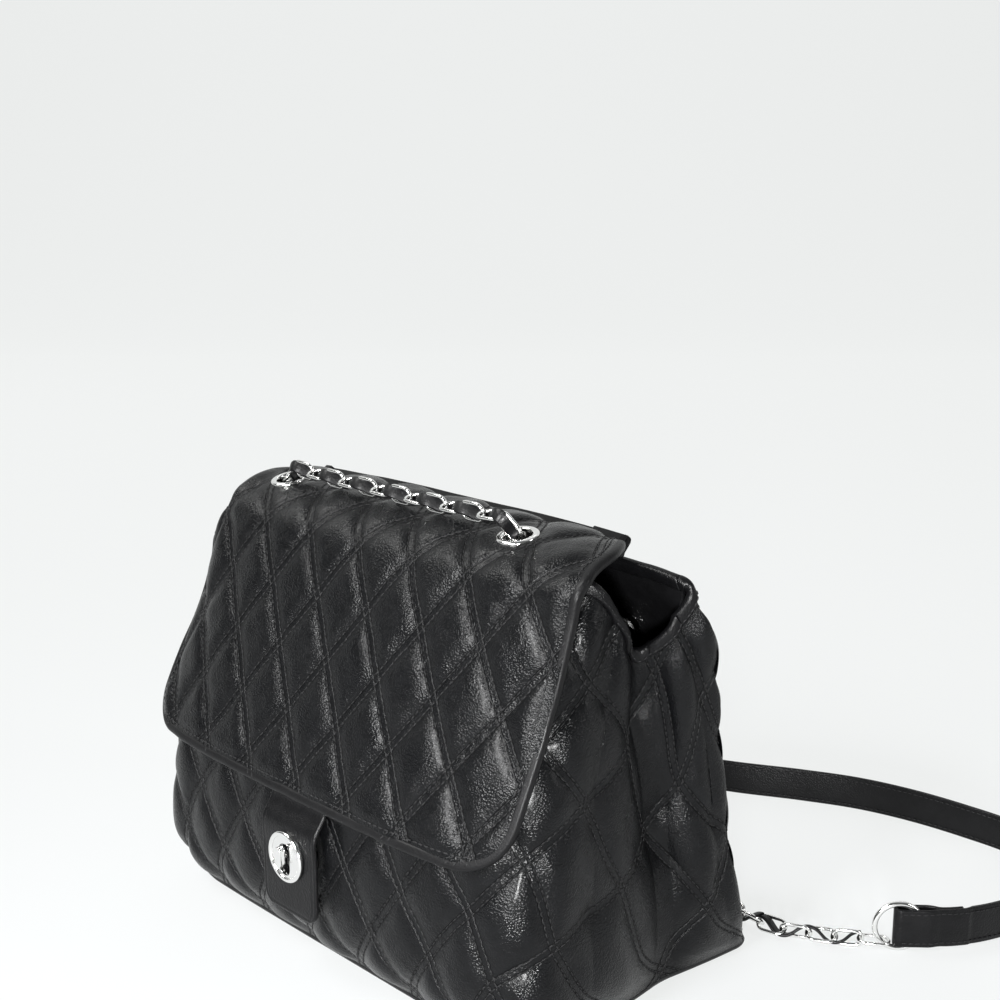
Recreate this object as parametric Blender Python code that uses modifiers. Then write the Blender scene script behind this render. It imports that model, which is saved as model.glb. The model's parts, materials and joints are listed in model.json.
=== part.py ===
"""Quilted crossbody bag with a turn-lock flap and a laced chain strap.

Metres, +Z up. The origin is the centre of the base on the floor, and the front faces -Y.
The soft walls are lofts through level rings, the flap is a padded sheet over the top, and the
strap is a chain through four eyelets, joined by two rings to a flat leather shoulder strap.
"""

import math

import bmesh
import bpy
import numpy as np
from mathutils import Matrix, Vector

# Clearances between pieces that touch
GAP = 0.0003
CUT_OVERRUN = 0.002
SHARP_ANGLE = math.radians(40)

# Body: outer sizes
HALF_WIDTH = 0.150
FRONT_REACH = 0.0905
BACK_REACH = 0.082
FRONT_TOP = 0.202
BACK_TOP = 0.2045
SHOULDER_TOP = 0.198
FOLD_TOP = 0.163
FRONT_CORNER_TOP = 0.203
FRONT_CROWN = 0.007
BACK_CROWN = 0.012
REAR_ROUND = 0.012
FOLD_ROUND = 0.006
FRONT_ROUND = 0.045
GUSSET_PUFF = 0.004

# Body: cloth thicknesses
PANEL = 0.003
PANEL_PRESSED = 0.0018
PRESSED_ROWS = 3
LINING = 0.001
LINING_GAP = 0.0016
BASE_PANEL = 0.003
BOARD = 0.002
BOARD_MARGIN = 0.0035
BINDING = 0.0009
BINDING_GAP = 0.0004

# Heights of the profile knots, as shares of the front wall's height, and what each one holds
LEVEL_SHARES = (0.0, 0.10, 0.24, 0.40, 0.56, 0.72, 0.87, 1.0)
FRONT_SHARES = (0.807, 0.96, 1.0, 0.97, 0.885, 0.765, 0.62, 0.47)
FRONT_CROWN_SHARES = (0.3, 0.7, 1.0, 1.0, 1.1, 1.4, 1.9, 2.5)
FRONT_WIDTH_SHARES = (0.90, 0.965, 0.975, 0.965, 0.95, 0.925, 0.895, 0.865)
FRONT_ROUND_SHARES = (0.8, 1.0, 1.0, 1.0, 0.95, 0.8, 0.5, 0.2)
BACK_SHARES = (1.0, 0.83, 0.71, 0.635, 0.56, 0.45, 0.32, 0.165)
BACK_CROWN_SHARES = (0.0, 0.5, 0.9, 1.0, 1.0, 0.8, 0.4, -0.5)
BACK_WIDTH_SHARES = (0.915, 0.96, 0.972, 0.966, 0.97, 1.0, 1.02, 1.0)
FOLD_WIDTH_SHARES = (0.873, 0.865, 0.852, 0.838, 0.826, 0.834, 0.84, 0.84)
FOLD_DEPTH_SHARES = (0.244, 0.235, 0.22, 0.18, 0.11, 0.03, -0.02, -0.03)
PUFF_SHARES = (0.0, 0.6, 1.0, 1.0, 1.0, 0.8, 0.4, 0.0)
ROW_SHARES = (0.0, 0.07, 0.19, 0.36, 0.56, 0.77, 0.94, 0.975, 1.0)
ROUNDING_SHARE = 0.45

# Segments along each stretch of half a ring, from the back's middle to the front's middle
BACK_STEPS = 4
REAR_STEPS = 4
REAR_SPAN_STEPS = 2
FOLD_STEPS = 2
FRONT_SPAN_STEPS = 3
FRONT_STEPS = 4
FACE_STEPS = 3

# Flap: the outer face's middle line from the back seam to the lower edge
FLAP_REACH = 0.1000
FLAP_TOP = 0.218
FLAP_REACH_SHARES = (-0.0863, -0.0305, 0.0609, 0.198, 0.4112, 0.4467, 0.5178, 0.5888, 0.665,
                     0.7462, 0.8294, 0.9096, 0.9553, 0.9868, 1.0)
FLAP_HEIGHT_SHARES = (0.9656, 0.9885, 1.0, 0.9991, 0.9794, 0.9725, 0.9472, 0.8899, 0.8028,
                      0.7064, 0.6055, 0.5087, 0.455, 0.4174, 0.4014)
FLAP_WIDTH_SHARES = (0.94, 0.945, 0.955, 0.97, 0.975, 0.975, 0.975, 0.98, 0.985, 0.99, 0.995,
                     1.0, 1.0, 1.0, 1.0)
FLAP_WRAP_SHARES = (0.25, 0.15, 0.05, 0.0, 0.0, 0.0, 0.1, 0.5, 0.8, 1.0, 1.0, 1.0, 1.0, 1.0, 1.0)
FLAP_DROP_SHARES = (1.0, 0.7, 0.3, 0.0, 0.0, 0.0, 0.0, 0.0, 0.0, 0.0, 0.0, 0.0, 0.0, 0.0, 0.0)
FLAP_DROP = 0.005
FLAP_HALF_WIDTH = 0.133
FLAP_WRAP = 0.012
FLAP_CORNER = 0.020
FLAP_PAD = 0.004
FLAP_FOLD_ROW = 5
FLAP_COLUMN_SHARES = (-1.0, -0.8, -0.55, -0.28, 0.0, 0.28, 0.55, 0.8, 1.0)
FLAP_BINDING = 0.0009
FLAP_BINDING_REACH = 0.0022
FLAP_BINDING_GAP = 0.0010

# Slump of the unfilled left front corner, with its reach along the width, height and depth
SLUMP_DROP = 0.024
SLUMP_DRAW = 0.008
SLUMP_WIDTH_SHARES = (0.78, 1.015)
SLUMP_HEIGHT_SHARES = (0.413, 0.986)
SLUMP_DEPTH_SHARES = (-0.12, 0.30)
SOFT_PIECES = ("back_panel", "front_panel", "left_gusset", "right_gusset", "lining",
               "back_top_binding", "front_top_binding", "left_gusset_binding",
               "right_gusset_binding", "flap_top", "flap_front", "flap_lining", "flap_binding")

# Tab under the flap, which carries the lock's frame
TAB_HALF_WIDTH = 0.0203
TAB_STAND_OFF = 0.0076
TAB_REACH = FRONT_REACH + TAB_STAND_OFF
TAB_TOP = 0.099
TAB = 0.0024
TAB_CORNER = 0.008
TAB_REACH_SHARES = (0.9103, 0.9290, 0.940, 1.0, 1.0, 1.0, 1.0, 1.0)
TAB_RISE_SHARES = (1.0, 0.784, 0.396, 0.0)
TAB_FALL_SHARES = (0.0, 0.685, 0.911, 1.0)
TAB_COLUMN_SHARES = (-1.0, -0.55, 0.0, 0.55, 1.0)

# Turn lock
LOCK_HEIGHT = 0.0605
TAB_OVER_LOCK = 0.013
TAB_UNDER_LOCK = 0.0305
LOCK_FRAME_RADIUS = 0.0125
LOCK_FRAME = 0.0017
LOCK_RIM = 0.0018
LOCK_RIM_RISE = 0.0006
SLOT_HALF_WIDTH = 0.0041
SLOT_HALF_HEIGHT = 0.0079
SLOT_DROP = 0.0023
LOCK_BACK_RADIUS = 0.0108
LOCK_BACK = 0.0006
LOCK_BASE_RADIUS = 0.0105
LOCK_BASE = 0.0009
POST_RADIUS = 0.0018
KNOB_HALF_WIDTH = 0.0031
KNOB_HALF_HEIGHT = 0.0050
KNOB = 0.0030
KNOB_LIFT = 0.0005
KNOB_SOCKET = 0.0016
KNOB_EDGE = 0.0005
WASHER_RADIUS = 0.007
WASHER = 0.0004
ROUND_STEPS = 20

# Eyelets
EYELET_SPREAD = 0.083
EYELET_DEPTH = 0.030
EYELET_BORE = 0.0066
EYELET_WALL = 0.0007
EYELET_FLANGE = 0.0098
EYELET_RISE = 0.0011
EYELET_ROLL = 0.0086
EYELET_WASHER = 0.0006
EYELET_WASHER_RADIUS = 0.0092
EYELET_STEPS = 18

# Chain links and the lace through them
LINK_WIRE = 0.0018
LINK_WIDTH = 0.0100
LINK_PITCH = 0.01237
LINK_END_GAP = 0.00075
LINK_BEND_STEPS = 6
LACE_WIDTH = 0.0030
LACE = 0.0010
LACE_RISE = 0.0042
SETTLE_SHARES = (1.0, 1.0, 0.6, 0.6, 0.25, 0.2, 0.0)
LINK_TWIST = math.radians(45)
FLAT_TURN = math.radians(45)
UPRIGHT_TURN = math.radians(35)
RUN_LINKS = 12
RUN_HEIGHT = 0.0056
RUN_END_LIFT = 0.0013
DIP_DEPTH = 0.0
FLOOR_RISE = 0.0051
FLOOR_LINKS = 5
COVERED_RADIUS = 0.0042
COVERED_STEP = 0.011
COVERED_FLOOR_STEPS = 5
STAND_OFF = 0.0022

# Strap rings and the shoulder strap, which stands on its edge on the floor
RING_RADIUS = 0.0116
RING_WIRE = 0.0028
RING_STEPS = 24
RING_SIDES = 8
HOOK_ANGLE = math.radians(225)
HOOK_REACH = 0.0038
STRAP_WIDTH = 0.0195
STRAP = 0.0028
STRAP_FOLD = 0.0038
STRAP_LOOP_WALL = 0.0015
STRAP_LOOP_BACK = 0.0015
STRAP_FOLD_LENGTH = 0.034
STRAP_SETTLE = 0.055
STRAP_STEP = 0.009
SLOT_ROUND_STEPS = 3

# Route of the shoulder strap on the floor, from the right ring to the left ring
RIGHT_RING = (0.1895, 0.1255)
RIGHT_RING_HEADING = math.radians(43.8)
LEFT_RING = (-0.137, 0.1625)
LEFT_RING_HEADING = math.radians(21.0)
STRAP_ROUTE = ((0.2105, 0.1520), (0.2185, 0.1745), (0.2240, 0.1980), (0.2245, 0.2210),
               (0.2165, 0.2420), (0.2000, 0.2560), (0.1760, 0.2625), (0.1480, 0.2630),
               (0.1180, 0.2605), (0.0860, 0.2530), (0.0540, 0.2385), (0.0200, 0.2200),
               (-0.0200, 0.2030), (-0.0600, 0.1895))

# Routes of the chain on the floor, from the ring back to the foot of the bag
RIGHT_FLOOR_ROUTE = ((0.1600, 0.1035), (0.1400, 0.0940), (0.1200, 0.0935), (0.1020, 0.0950))
LEFT_FLOOR_ROUTE = ((-0.1600, 0.1540), (-0.1800, 0.1430), (-0.1970, 0.1270), (-0.2000, 0.1080),
                    (-0.1880, 0.0965), (-0.1650, 0.0930), (-0.1350, 0.0940), (-0.1020, 0.0950))
CHAIN_FOOT = (0.0880, 0.0925, 0.0075)

# Colours of the four materials
LEATHER = (0.012, 0.012, 0.013)
LEATHER_INSIDE = (0.03, 0.03, 0.032)
SILVER = (0.80, 0.80, 0.79)
BOARD_GREY = (0.18, 0.17, 0.16)


def clear_scene():
    """Remove every object that the scene starts with."""
    for old in list(bpy.data.objects):
        bpy.data.objects.remove(old, do_unlink=True)


def new_collection(name):
    """Make a collection under the scene's own one."""
    group = bpy.data.collections.new(name)
    bpy.context.scene.collection.children.link(group)
    return group


def new_material(name, colour, roughness, metallic):
    """A Principled material with one colour."""
    material = bpy.data.materials.new(name)
    material.use_nodes = True
    shader = material.node_tree.nodes["Principled BSDF"]
    shader.inputs["Base Color"].default_value = (*colour, 1.0)
    shader.inputs["Roughness"].default_value = roughness
    shader.inputs["Metallic"].default_value = metallic
    return material


def add_object(name, data, kind):
    """Link an object with the given mesh or curve into the bag, with its material."""
    thing = bpy.data.objects.new(name, data)
    data.materials.append(MATERIALS[kind])
    BAG.objects.link(thing)
    return thing


def shade_round(mesh):
    """Shade a mesh smooth, with sharp edges kept sharp."""
    mesh.shade_smooth()
    mesh.set_sharp_from_angle(angle=SHARP_ANGLE)
    return mesh


def mesh_from(name, points, faces):
    """A mesh from arrays of points and faces, with its normals pointing out."""
    mesh = bpy.data.meshes.new(name)
    mesh.from_pydata([tuple(p) for p in points], [], faces)
    work = bmesh.new()
    work.from_mesh(mesh)
    bmesh.ops.recalc_face_normals(work, faces=work.faces)
    work.to_mesh(mesh)
    work.free()
    return shade_round(mesh)


def unit(vectors):
    """Scale each vector in an array to length one."""
    vectors = np.asarray(vectors, float)
    return vectors / np.linalg.norm(vectors, axis=-1, keepdims=True)


def smooth_profile(at, knots, values):
    """Cubic Hermite curve through (knots, values), read at the heights in at."""
    knots = np.asarray(knots, float)
    values = np.asarray(values, float)
    slopes = np.gradient(values, knots)
    index = np.clip(np.searchsorted(knots, at, side="right") - 1, 0, len(knots) - 2)
    width = knots[index + 1] - knots[index]
    t = np.clip((at - knots[index]) / width, 0.0, 1.0)
    start = values[index] * (1 + 2 * t) * (1 - t) ** 2 + slopes[index] * width * t * (1 - t) ** 2
    end = values[index + 1] * t * t * (3 - 2 * t) - slopes[index + 1] * width * t * t * (1 - t)
    return start + end


def smooth_route(points, step):
    """Points about a step apart on a smooth curve through the route's own points."""
    points = np.asarray(points, float)
    along = np.concatenate([[0.0], np.cumsum(np.linalg.norm(np.diff(points, axis=0), axis=1))])
    count = max(2, int(round(along[-1] / step)) + 1)
    at = np.linspace(0.0, along[-1], count)
    columns = [smooth_profile(at, along, points[:, axis]) for axis in range(points.shape[1])]
    return np.stack(columns, axis=1)


def stacked_rings(rings, turned=None, strip_ends=False):
    """Loft through rings of equal counts with capped ends; returns points and faces.

    Turned says, by level and side, which quads are split along their other diagonal, so that
    the two faces of a thin sheet are split alike. Strip ends close a sheet's two edges with a
    row of quads, which a bent edge needs.
    """
    rings = np.asarray(rings, float)
    count = rings.shape[1]
    other = np.zeros((len(rings) - 1, count), bool)
    if turned is not None:
        other |= turned
    faces = []
    for level in range(len(rings) - 1):
        low = level * count
        high = low + count
        for i in range(count):
            j = (i + 1) % count
            if other[level, i]:
                faces.extend([(low + i, low + j, high + i), (low + j, high + j, high + i)])
            else:
                faces.extend([(low + i, low + j, high + j), (low + i, high + j, high + i)])
    last = (len(rings) - 1) * count
    if not strip_ends:
        faces.append(tuple(range(count - 1, -1, -1)))
        faces.append(tuple(range(last, last + count)))
        return rings.reshape(-1, 3), faces
    for base in (0, last):
        for i in range(count // 2 - 1):
            near, far = base + i, base + i + 1
            far_under, near_under = base + count - 2 - i, base + count - 1 - i
            if other[0, i]:
                faces.extend([(near, far, near_under), (far, far_under, near_under)])
            else:
                faces.extend([(near, far, far_under), (near, far_under, near_under)])
    return rings.reshape(-1, 3), faces


def thick_sheet(outer, inner, turned=None):
    """A closed solid between two grids; turned marks the columns split the other way."""
    cells = outer.shape[1] - 1
    turned = np.zeros(cells, bool) if turned is None else np.asarray(turned)
    rings = np.concatenate([outer, inner[:, ::-1]], axis=1)
    sides = np.concatenate([turned, [False], ~turned[::-1], [False]])
    return stacked_rings(rings, sides[None, :], strip_ends=True)


def folded_sweep(stations, turned=None):
    """A closed solid through folded strip sections, split like the cloth that they fold."""
    stations = np.asarray(stations)
    turned = np.zeros(len(stations) - 1, bool) if turned is None else np.asarray(turned)
    sides = np.array([False, False, True, False, False, True, True, False])
    return stacked_rings(stations, sides[None, :] != turned[:, None])


def span_points(start, end, count):
    """Evenly spaced points from start to end without the last one; start is (rows, 3)."""
    t = np.linspace(0.0, 1.0, count, endpoint=False)[None, :, None]
    return start[:, None, :] * (1 - t) + end[:, None, :] * t


def corner_points(before, corner, after, count):
    """Quadratic curve from before to after, drawn to the corner, without its last point."""
    t = np.linspace(0.0, 1.0, count, endpoint=False)[None, :, None]
    first = before[:, None, :] * (1 - t) ** 2
    second = corner[:, None, :] * 2 * t * (1 - t)
    return first + second + after[:, None, :] * t ** 2


def corner_reach(corner, other, distance):
    """How far a corner's rounding goes on the way to the other point, at most 45%."""
    length = np.linalg.norm((other - corner)[:, :2], axis=1)
    return np.minimum(distance, ROUNDING_SHARE * length)


def step_toward(corner, other, distance):
    """The point at a distance from the corner, measured in plan, on the way to the other."""
    way = other - corner
    length = np.linalg.norm(way[:, :2], axis=1, keepdims=True)
    return corner + way * (distance[:, None] / length)


def frame_points():
    """Outer corner lines of half the body: back middle, shoulder, fold, corner, front middle."""
    rows = np.asarray(ROW_SHARES)
    floor = BASE_PANEL + GAP
    knots = np.asarray(LEVEL_SHARES) * FRONT_TOP

    def read(z, shares, size):
        return smooth_profile(z, knots, np.asarray(shares) * size)

    back_z, shoulder_z, fold_z, corner_z, front_z = [
        floor + rows * (top - floor)
        for top in (BACK_TOP, SHOULDER_TOP, FOLD_TOP, FRONT_CORNER_TOP, FRONT_TOP)]
    crown = read(corner_z, FRONT_CROWN_SHARES, FRONT_CROWN)
    front_crown = read(front_z, FRONT_CROWN_SHARES, FRONT_CROWN)
    frame = [np.stack([rows * 0.0, read(back_z, BACK_SHARES, BACK_REACH), back_z], axis=1),
             np.stack([read(shoulder_z, BACK_WIDTH_SHARES, HALF_WIDTH),
                       read(shoulder_z, BACK_SHARES, BACK_REACH), shoulder_z], axis=1),
             np.stack([read(fold_z, FOLD_WIDTH_SHARES, HALF_WIDTH),
                       read(fold_z, FOLD_DEPTH_SHARES, BACK_REACH), fold_z], axis=1),
             np.stack([read(corner_z, FRONT_WIDTH_SHARES, HALF_WIDTH),
                       crown - read(corner_z, FRONT_SHARES, FRONT_REACH), corner_z], axis=1),
             np.stack([rows * 0.0, front_crown - read(front_z, FRONT_SHARES, FRONT_REACH),
                       front_z], axis=1)]
    rises = {"back": read(back_z, BACK_CROWN_SHARES, BACK_CROWN), "front": front_crown,
             "puff": read(fold_z, PUFF_SHARES, GUSSET_PUFF)}
    rounds = [np.full(len(rows), REAR_ROUND), np.full(len(rows), FOLD_ROUND),
              FRONT_ROUND * np.interp(corner_z, knots, FRONT_ROUND_SHARES)]
    return frame, rises, rounds


def inset_frame(frame, inset):
    """The corner lines moved inward in plan, and the tangent of half of each one's turn."""
    flip = np.array([-1.0, 1.0, 1.0])
    lines = [frame[1] * flip] + frame + [frame[-2] * flip]
    moved = []
    turns = []
    for before, here, after in zip(lines, lines[1:], lines[2:]):
        first = unit((here - before)[:, :2])
        second = unit((after - here)[:, :2])
        inward_first = np.stack([first[:, 1], -first[:, 0]], axis=1)
        inward_second = np.stack([second[:, 1], -second[:, 0]], axis=1)
        same = 1 + np.sum(first * second, axis=1)
        turn = first[:, 1] * second[:, 0] - first[:, 0] * second[:, 1]
        shift = (inward_first + inward_second) / same[:, None] * inset[:, None]
        moved.append(here + np.concatenate([shift, shift[:, :1] * 0], axis=1))
        turns.append(turn / same)
    return moved, turns


def body_rings(inset=None):
    """Rings of the wall at an inset, by row: right half from the back's middle, then the left."""
    frame, rises, rounds = frame_points()
    inset = np.zeros(len(ROW_SHARES)) if inset is None else inset
    (back, shoulder, fold, corner, front), turns = inset_frame(frame, inset)

    def rounding(number, size, toward_outer, here, there):
        outer = corner_reach(frame[number], toward_outer, size)
        inner = np.maximum(outer - inset * turns[number], FOLD_ROUND / 4)
        return step_toward(here, there, np.minimum(inner, corner_reach(here, there, inner)))

    rear_in = rounding(1, rounds[0], frame[0], shoulder, back)
    rear_out = rounding(1, rounds[0], frame[2], shoulder, fold)
    fold_in = rounding(2, rounds[1], frame[1], fold, shoulder)
    fold_out = rounding(2, rounds[1], frame[3], fold, corner)
    corner_in = rounding(3, rounds[2], frame[2], corner, fold)
    corner_out = rounding(3, rounds[2], frame[4], corner, front)

    def crowned(points, edge, middle, rise, power):
        share = points[..., 0] / edge[..., 0]
        points = points.copy()
        points[..., 1] += rise * (1 - share ** power)
        points[..., 2] = middle[..., 2] + (edge[..., 2] - middle[..., 2]) * share ** 4
        return points

    back_span = crowned(span_points(back, rear_in, BACK_STEPS), frame[1][:, None],
                        back[:, None], rises["back"][:, None], 2)
    rear_start = crowned(rear_in, frame[1], back, rises["back"], 2)
    stretches = []
    for start, end, steps in ((rear_out, fold_in, REAR_SPAN_STEPS),
                              (fold_out, corner_in, FRONT_SPAN_STEPS)):
        stretch = span_points(start, end, steps)
        t = np.linspace(0.0, 1.0, steps, endpoint=False)
        stretch[:, :, 0] += rises["puff"][:, None] * 4 * t * (1 - t)
        stretches.append(stretch)
    front_start = crowned(corner_out, frame[3], front, -rises["front"], 4)
    face_span = crowned(span_points(corner_out, front, FACE_STEPS), frame[3][:, None],
                        front[:, None], -rises["front"][:, None], 4)
    middle = crowned(front, frame[3], front, -rises["front"], 4)[:, None, :]
    right = np.concatenate([
        back_span, corner_points(rear_start, shoulder, rear_out, REAR_STEPS), stretches[0],
        corner_points(fold_in, fold, fold_out, FOLD_STEPS), stretches[1],
        corner_points(corner_in, corner, front_start, FRONT_STEPS), face_span, middle], axis=1)
    left = right[:, -2:0:-1].copy()
    left[:, :, 0] *= -1
    return np.concatenate([right, left], axis=1)


def wall_inset(depth, pressed):
    """Inset by row: the full depth below, and the pressed depth at the bound top edge."""
    inset = np.full(len(ROW_SHARES), depth)
    inset[-PRESSED_ROWS:] = pressed
    return inset


def inner_rings(rings, inset):
    """Rings at an inset, with the heights of the outer rings."""
    inner = body_rings(inset)
    inner[:, :, 2] = rings[:, :, 2]
    return inner


def inward_normals(rings):
    """Level unit normals that point into the body, one for each point of each ring."""
    along = np.roll(rings, -1, axis=1) - np.roll(rings, 1, axis=1)
    level = np.stack([along[:, :, 1], -along[:, :, 0], along[:, :, 2] * 0], axis=2)
    return unit(level)


# Column numbers of the seams in a ring
REAR_START = BACK_STEPS
REAR_SEAM = BACK_STEPS + REAR_STEPS // 2
REAR_END = BACK_STEPS + REAR_STEPS
FRONT_START = REAR_END + REAR_SPAN_STEPS + FOLD_STEPS + FRONT_SPAN_STEPS
FRONT_SEAM = FRONT_START + FRONT_STEPS // 2
HALF_COLUMNS = FRONT_START + FRONT_STEPS + FACE_STEPS


def ring_columns(first, last):
    """Column numbers from first to last round the ring, which may pass its end."""
    return [number % (2 * HALF_COLUMNS) for number in range(first, last + 1)]


def panel_grids(rings, normals, first, last):
    """Grid of a stretch of rings, drawn back half a gap from its side seams."""
    columns = ring_columns(first, last)
    face = rings[:, columns].copy()
    normal = normals[:, columns]
    tangent = np.stack([-normal[:, :, 1], normal[:, :, 0], normal[:, :, 2] * 0], axis=2)
    face[:, 0] += tangent[:, 0] * GAP / 2
    face[:, -1] -= tangent[:, -1] * GAP / 2
    return face


def make_walls(rings, normals):
    """Front, back and gusset panels, each a padded sheet pressed thin at its top edge."""
    full = 2 * HALF_COLUMNS
    spans = {"back_panel": (full - REAR_SEAM, full + REAR_SEAM),
             "right_gusset": (REAR_SEAM, FRONT_SEAM),
             "front_panel": (FRONT_SEAM, full - FRONT_SEAM),
             "left_gusset": (full - FRONT_SEAM, full - REAR_SEAM)}
    inside = inner_rings(rings, wall_inset(PANEL, PANEL_PRESSED))
    made = {}
    for name, (first, last) in spans.items():
        outer = panel_grids(rings, normals, first, last)
        inner = panel_grids(inside, normals, first, last)
        left = [column >= HALF_COLUMNS for column in ring_columns(first, last - 1)]
        shape = thick_sheet(outer, inner, left)
        made[name] = add_object(name, mesh_from(name, *shape), "leather")
    return made


def flat_outline(name, outline, thickness, low, kind):
    """A flat piece with the given plan outline, from height low upwards."""
    curve = bpy.data.curves.new(name, "CURVE")
    curve.dimensions = "2D"
    curve.fill_mode = "BOTH"
    curve.extrude = thickness / 2
    loops = outline if isinstance(outline, list) else [outline]
    for loop in loops:
        spline = curve.splines.new("POLY")
        spline.points.add(len(loop) - 1)
        for point, place in zip(spline.points, loop):
            point.co = (place[0], place[1], 0.0, 1.0)
        spline.use_cyclic_u = True
    holder = bpy.data.objects.new(name, curve)
    BAG.objects.link(holder)
    holder.location.z = low + thickness / 2
    bpy.context.view_layer.update()
    return curve_to_mesh(holder, kind)


def curve_to_mesh(holder, kind):
    """Turn a curve object into a welded mesh object of the same name."""
    name = holder.name
    graph = bpy.context.evaluated_depsgraph_get()
    mesh = bpy.data.meshes.new_from_object(holder.evaluated_get(graph))
    matrix = holder.matrix_world.copy()
    old = holder.data
    bpy.data.objects.remove(holder, do_unlink=True)
    bpy.data.curves.remove(old)
    work = bmesh.new()
    work.from_mesh(mesh)
    bmesh.ops.remove_doubles(work, verts=work.verts, dist=GAP / 30)
    bmesh.ops.recalc_face_normals(work, faces=work.faces)
    work.to_mesh(mesh)
    work.free()
    made = add_object(name, shade_round(mesh), kind)
    made.matrix_world = matrix
    return made


def make_base(rings):
    """The base panel that the bag stands on, and the stiff board above it."""
    flat_outline("bottom_panel", rings[0], BASE_PANEL, 0.0, "leather")
    margin = PANEL + BOARD_MARGIN
    board = inner_rings(rings, wall_inset(margin, margin))[0]
    flat_outline("base_board", board, BOARD, BASE_PANEL + GAP, "board")


def make_lining(rings):
    """An open-topped tub inside the walls, with a floor over the base board."""
    low = BASE_PANEL + GAP + BOARD + GAP
    near = PANEL + LINING_GAP
    outer = inner_rings(rings, wall_inset(near, near))
    inner = inner_rings(rings, wall_inset(near + LINING, near + LINING))

    def floor_ring(grid, height):
        share = (height - grid[0, :, 2]) / (grid[1, :, 2] - grid[0, :, 2])
        return grid[0] + (grid[1] - grid[0]) * share[:, None]

    stack = [floor_ring(outer, low)]
    stack.extend(outer[1:])
    stack.extend(inner[:0:-1])
    stack.append(floor_ring(inner, low + LINING))
    left = np.arange(2 * HALF_COLUMNS)[None, :] >= HALF_COLUMNS
    inside = np.arange(len(stack) - 1)[:, None] >= len(outer)
    shape = stacked_rings(stack, left != inside)
    return add_object("lining", mesh_from("lining", *shape), "lining")


def binding_section(outer, inner, outer_low, inner_low, gap, thickness):
    """Eight points of a folded strip round a cloth edge, from the edge and its lower line."""
    across = unit(inner - outer)
    outer_up = unit(outer - outer_low)
    inner_up = unit(inner - inner_low)
    far = gap + thickness
    return np.array([outer_low - across * far, outer + outer_up * far - across * far,
                     inner + inner_up * far + across * far, inner_low + across * far,
                     inner_low + across * gap, inner + inner_up * gap + across * gap,
                     outer + outer_up * gap - across * gap, outer_low - across * gap])


def make_top_bindings(rings, normals):
    """Folded strips over the pressed top edges of the four walls."""
    full = 2 * HALF_COLUMNS
    spans = {"back_top_binding": (full - REAR_START, full + REAR_START),
             "right_gusset_binding": (REAR_END, FRONT_SEAM),
             "front_top_binding": (FRONT_SEAM, full - FRONT_SEAM),
             "left_gusset_binding": (full - FRONT_SEAM, full - REAR_END)}
    inside = inner_rings(rings, wall_inset(PANEL, PANEL_PRESSED))
    for name, (first, last) in spans.items():
        outer = panel_grids(rings, normals, first, last)
        inner = panel_grids(inside, normals, first, last)
        stations = [binding_section(outer[-1, i], inner[-1, i], outer[-2, i], inner[-2, i],
                                    BINDING_GAP, BINDING) for i in range(outer.shape[1])]
        left = [column >= HALF_COLUMNS for column in ring_columns(first, last - 1)]
        add_object(name, mesh_from(name, *folded_sweep(stations, left)), "leather")


def sheet_grid(middle, half_widths, wraps, drops, column_shares):
    """Outer face of a hanging sheet: rows down its middle line, columns across.

    Its sides wrap back and drop with the fourth power of the distance from the middle.
    """
    share = np.asarray(column_shares)
    x = half_widths[:, None] * share[None, :]
    y = middle[:, 0][:, None] + wraps[:, None] * (x / half_widths.max()) ** 4
    z = middle[:, 1][:, None] - drops[:, None] * (x / half_widths.max()) ** 4
    return np.stack([x, y, z], axis=2)


def grid_normals(grid):
    """Unit normals of a sheet's outer face, by differences along rows and columns."""
    down = np.gradient(grid, axis=0)
    across = np.gradient(grid, axis=1)
    return unit(np.cross(down, across))


def rounded_widths(middle, half_width, width_shares, corner):
    """Half widths of the rows, drawn in round the lower corners by an arc."""
    steps = np.linalg.norm(np.diff(middle, axis=0), axis=1)
    below = np.concatenate([np.cumsum(steps[::-1])[::-1], [0.0]])
    inside = np.clip(corner - below, 0.0, corner)
    draw = corner - np.sqrt(corner ** 2 - inside ** 2)
    return half_width * np.asarray(width_shares) - draw


def flap_middle():
    """Middle line of the flap's outer face as (y, z) rows."""
    return np.stack([-np.asarray(FLAP_REACH_SHARES) * FLAP_REACH,
                     np.asarray(FLAP_HEIGHT_SHARES) * FLAP_TOP], axis=1)


def flap_surface():
    """Grid and normals of the whole flap's outer face, from the back seam to the lower edge."""
    middle = flap_middle()
    widths = rounded_widths(middle, FLAP_HALF_WIDTH, FLAP_WIDTH_SHARES, FLAP_CORNER)
    wraps = FLAP_WRAP * np.asarray(FLAP_WRAP_SHARES)
    drops = FLAP_DROP * np.asarray(FLAP_DROP_SHARES)
    grid = sheet_grid(middle, widths, wraps, drops, FLAP_COLUMN_SHARES)
    normals = grid_normals(grid)
    return grid, normals * np.sign(normals[FLAP_FOLD_ROW, 4, 2])


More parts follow.
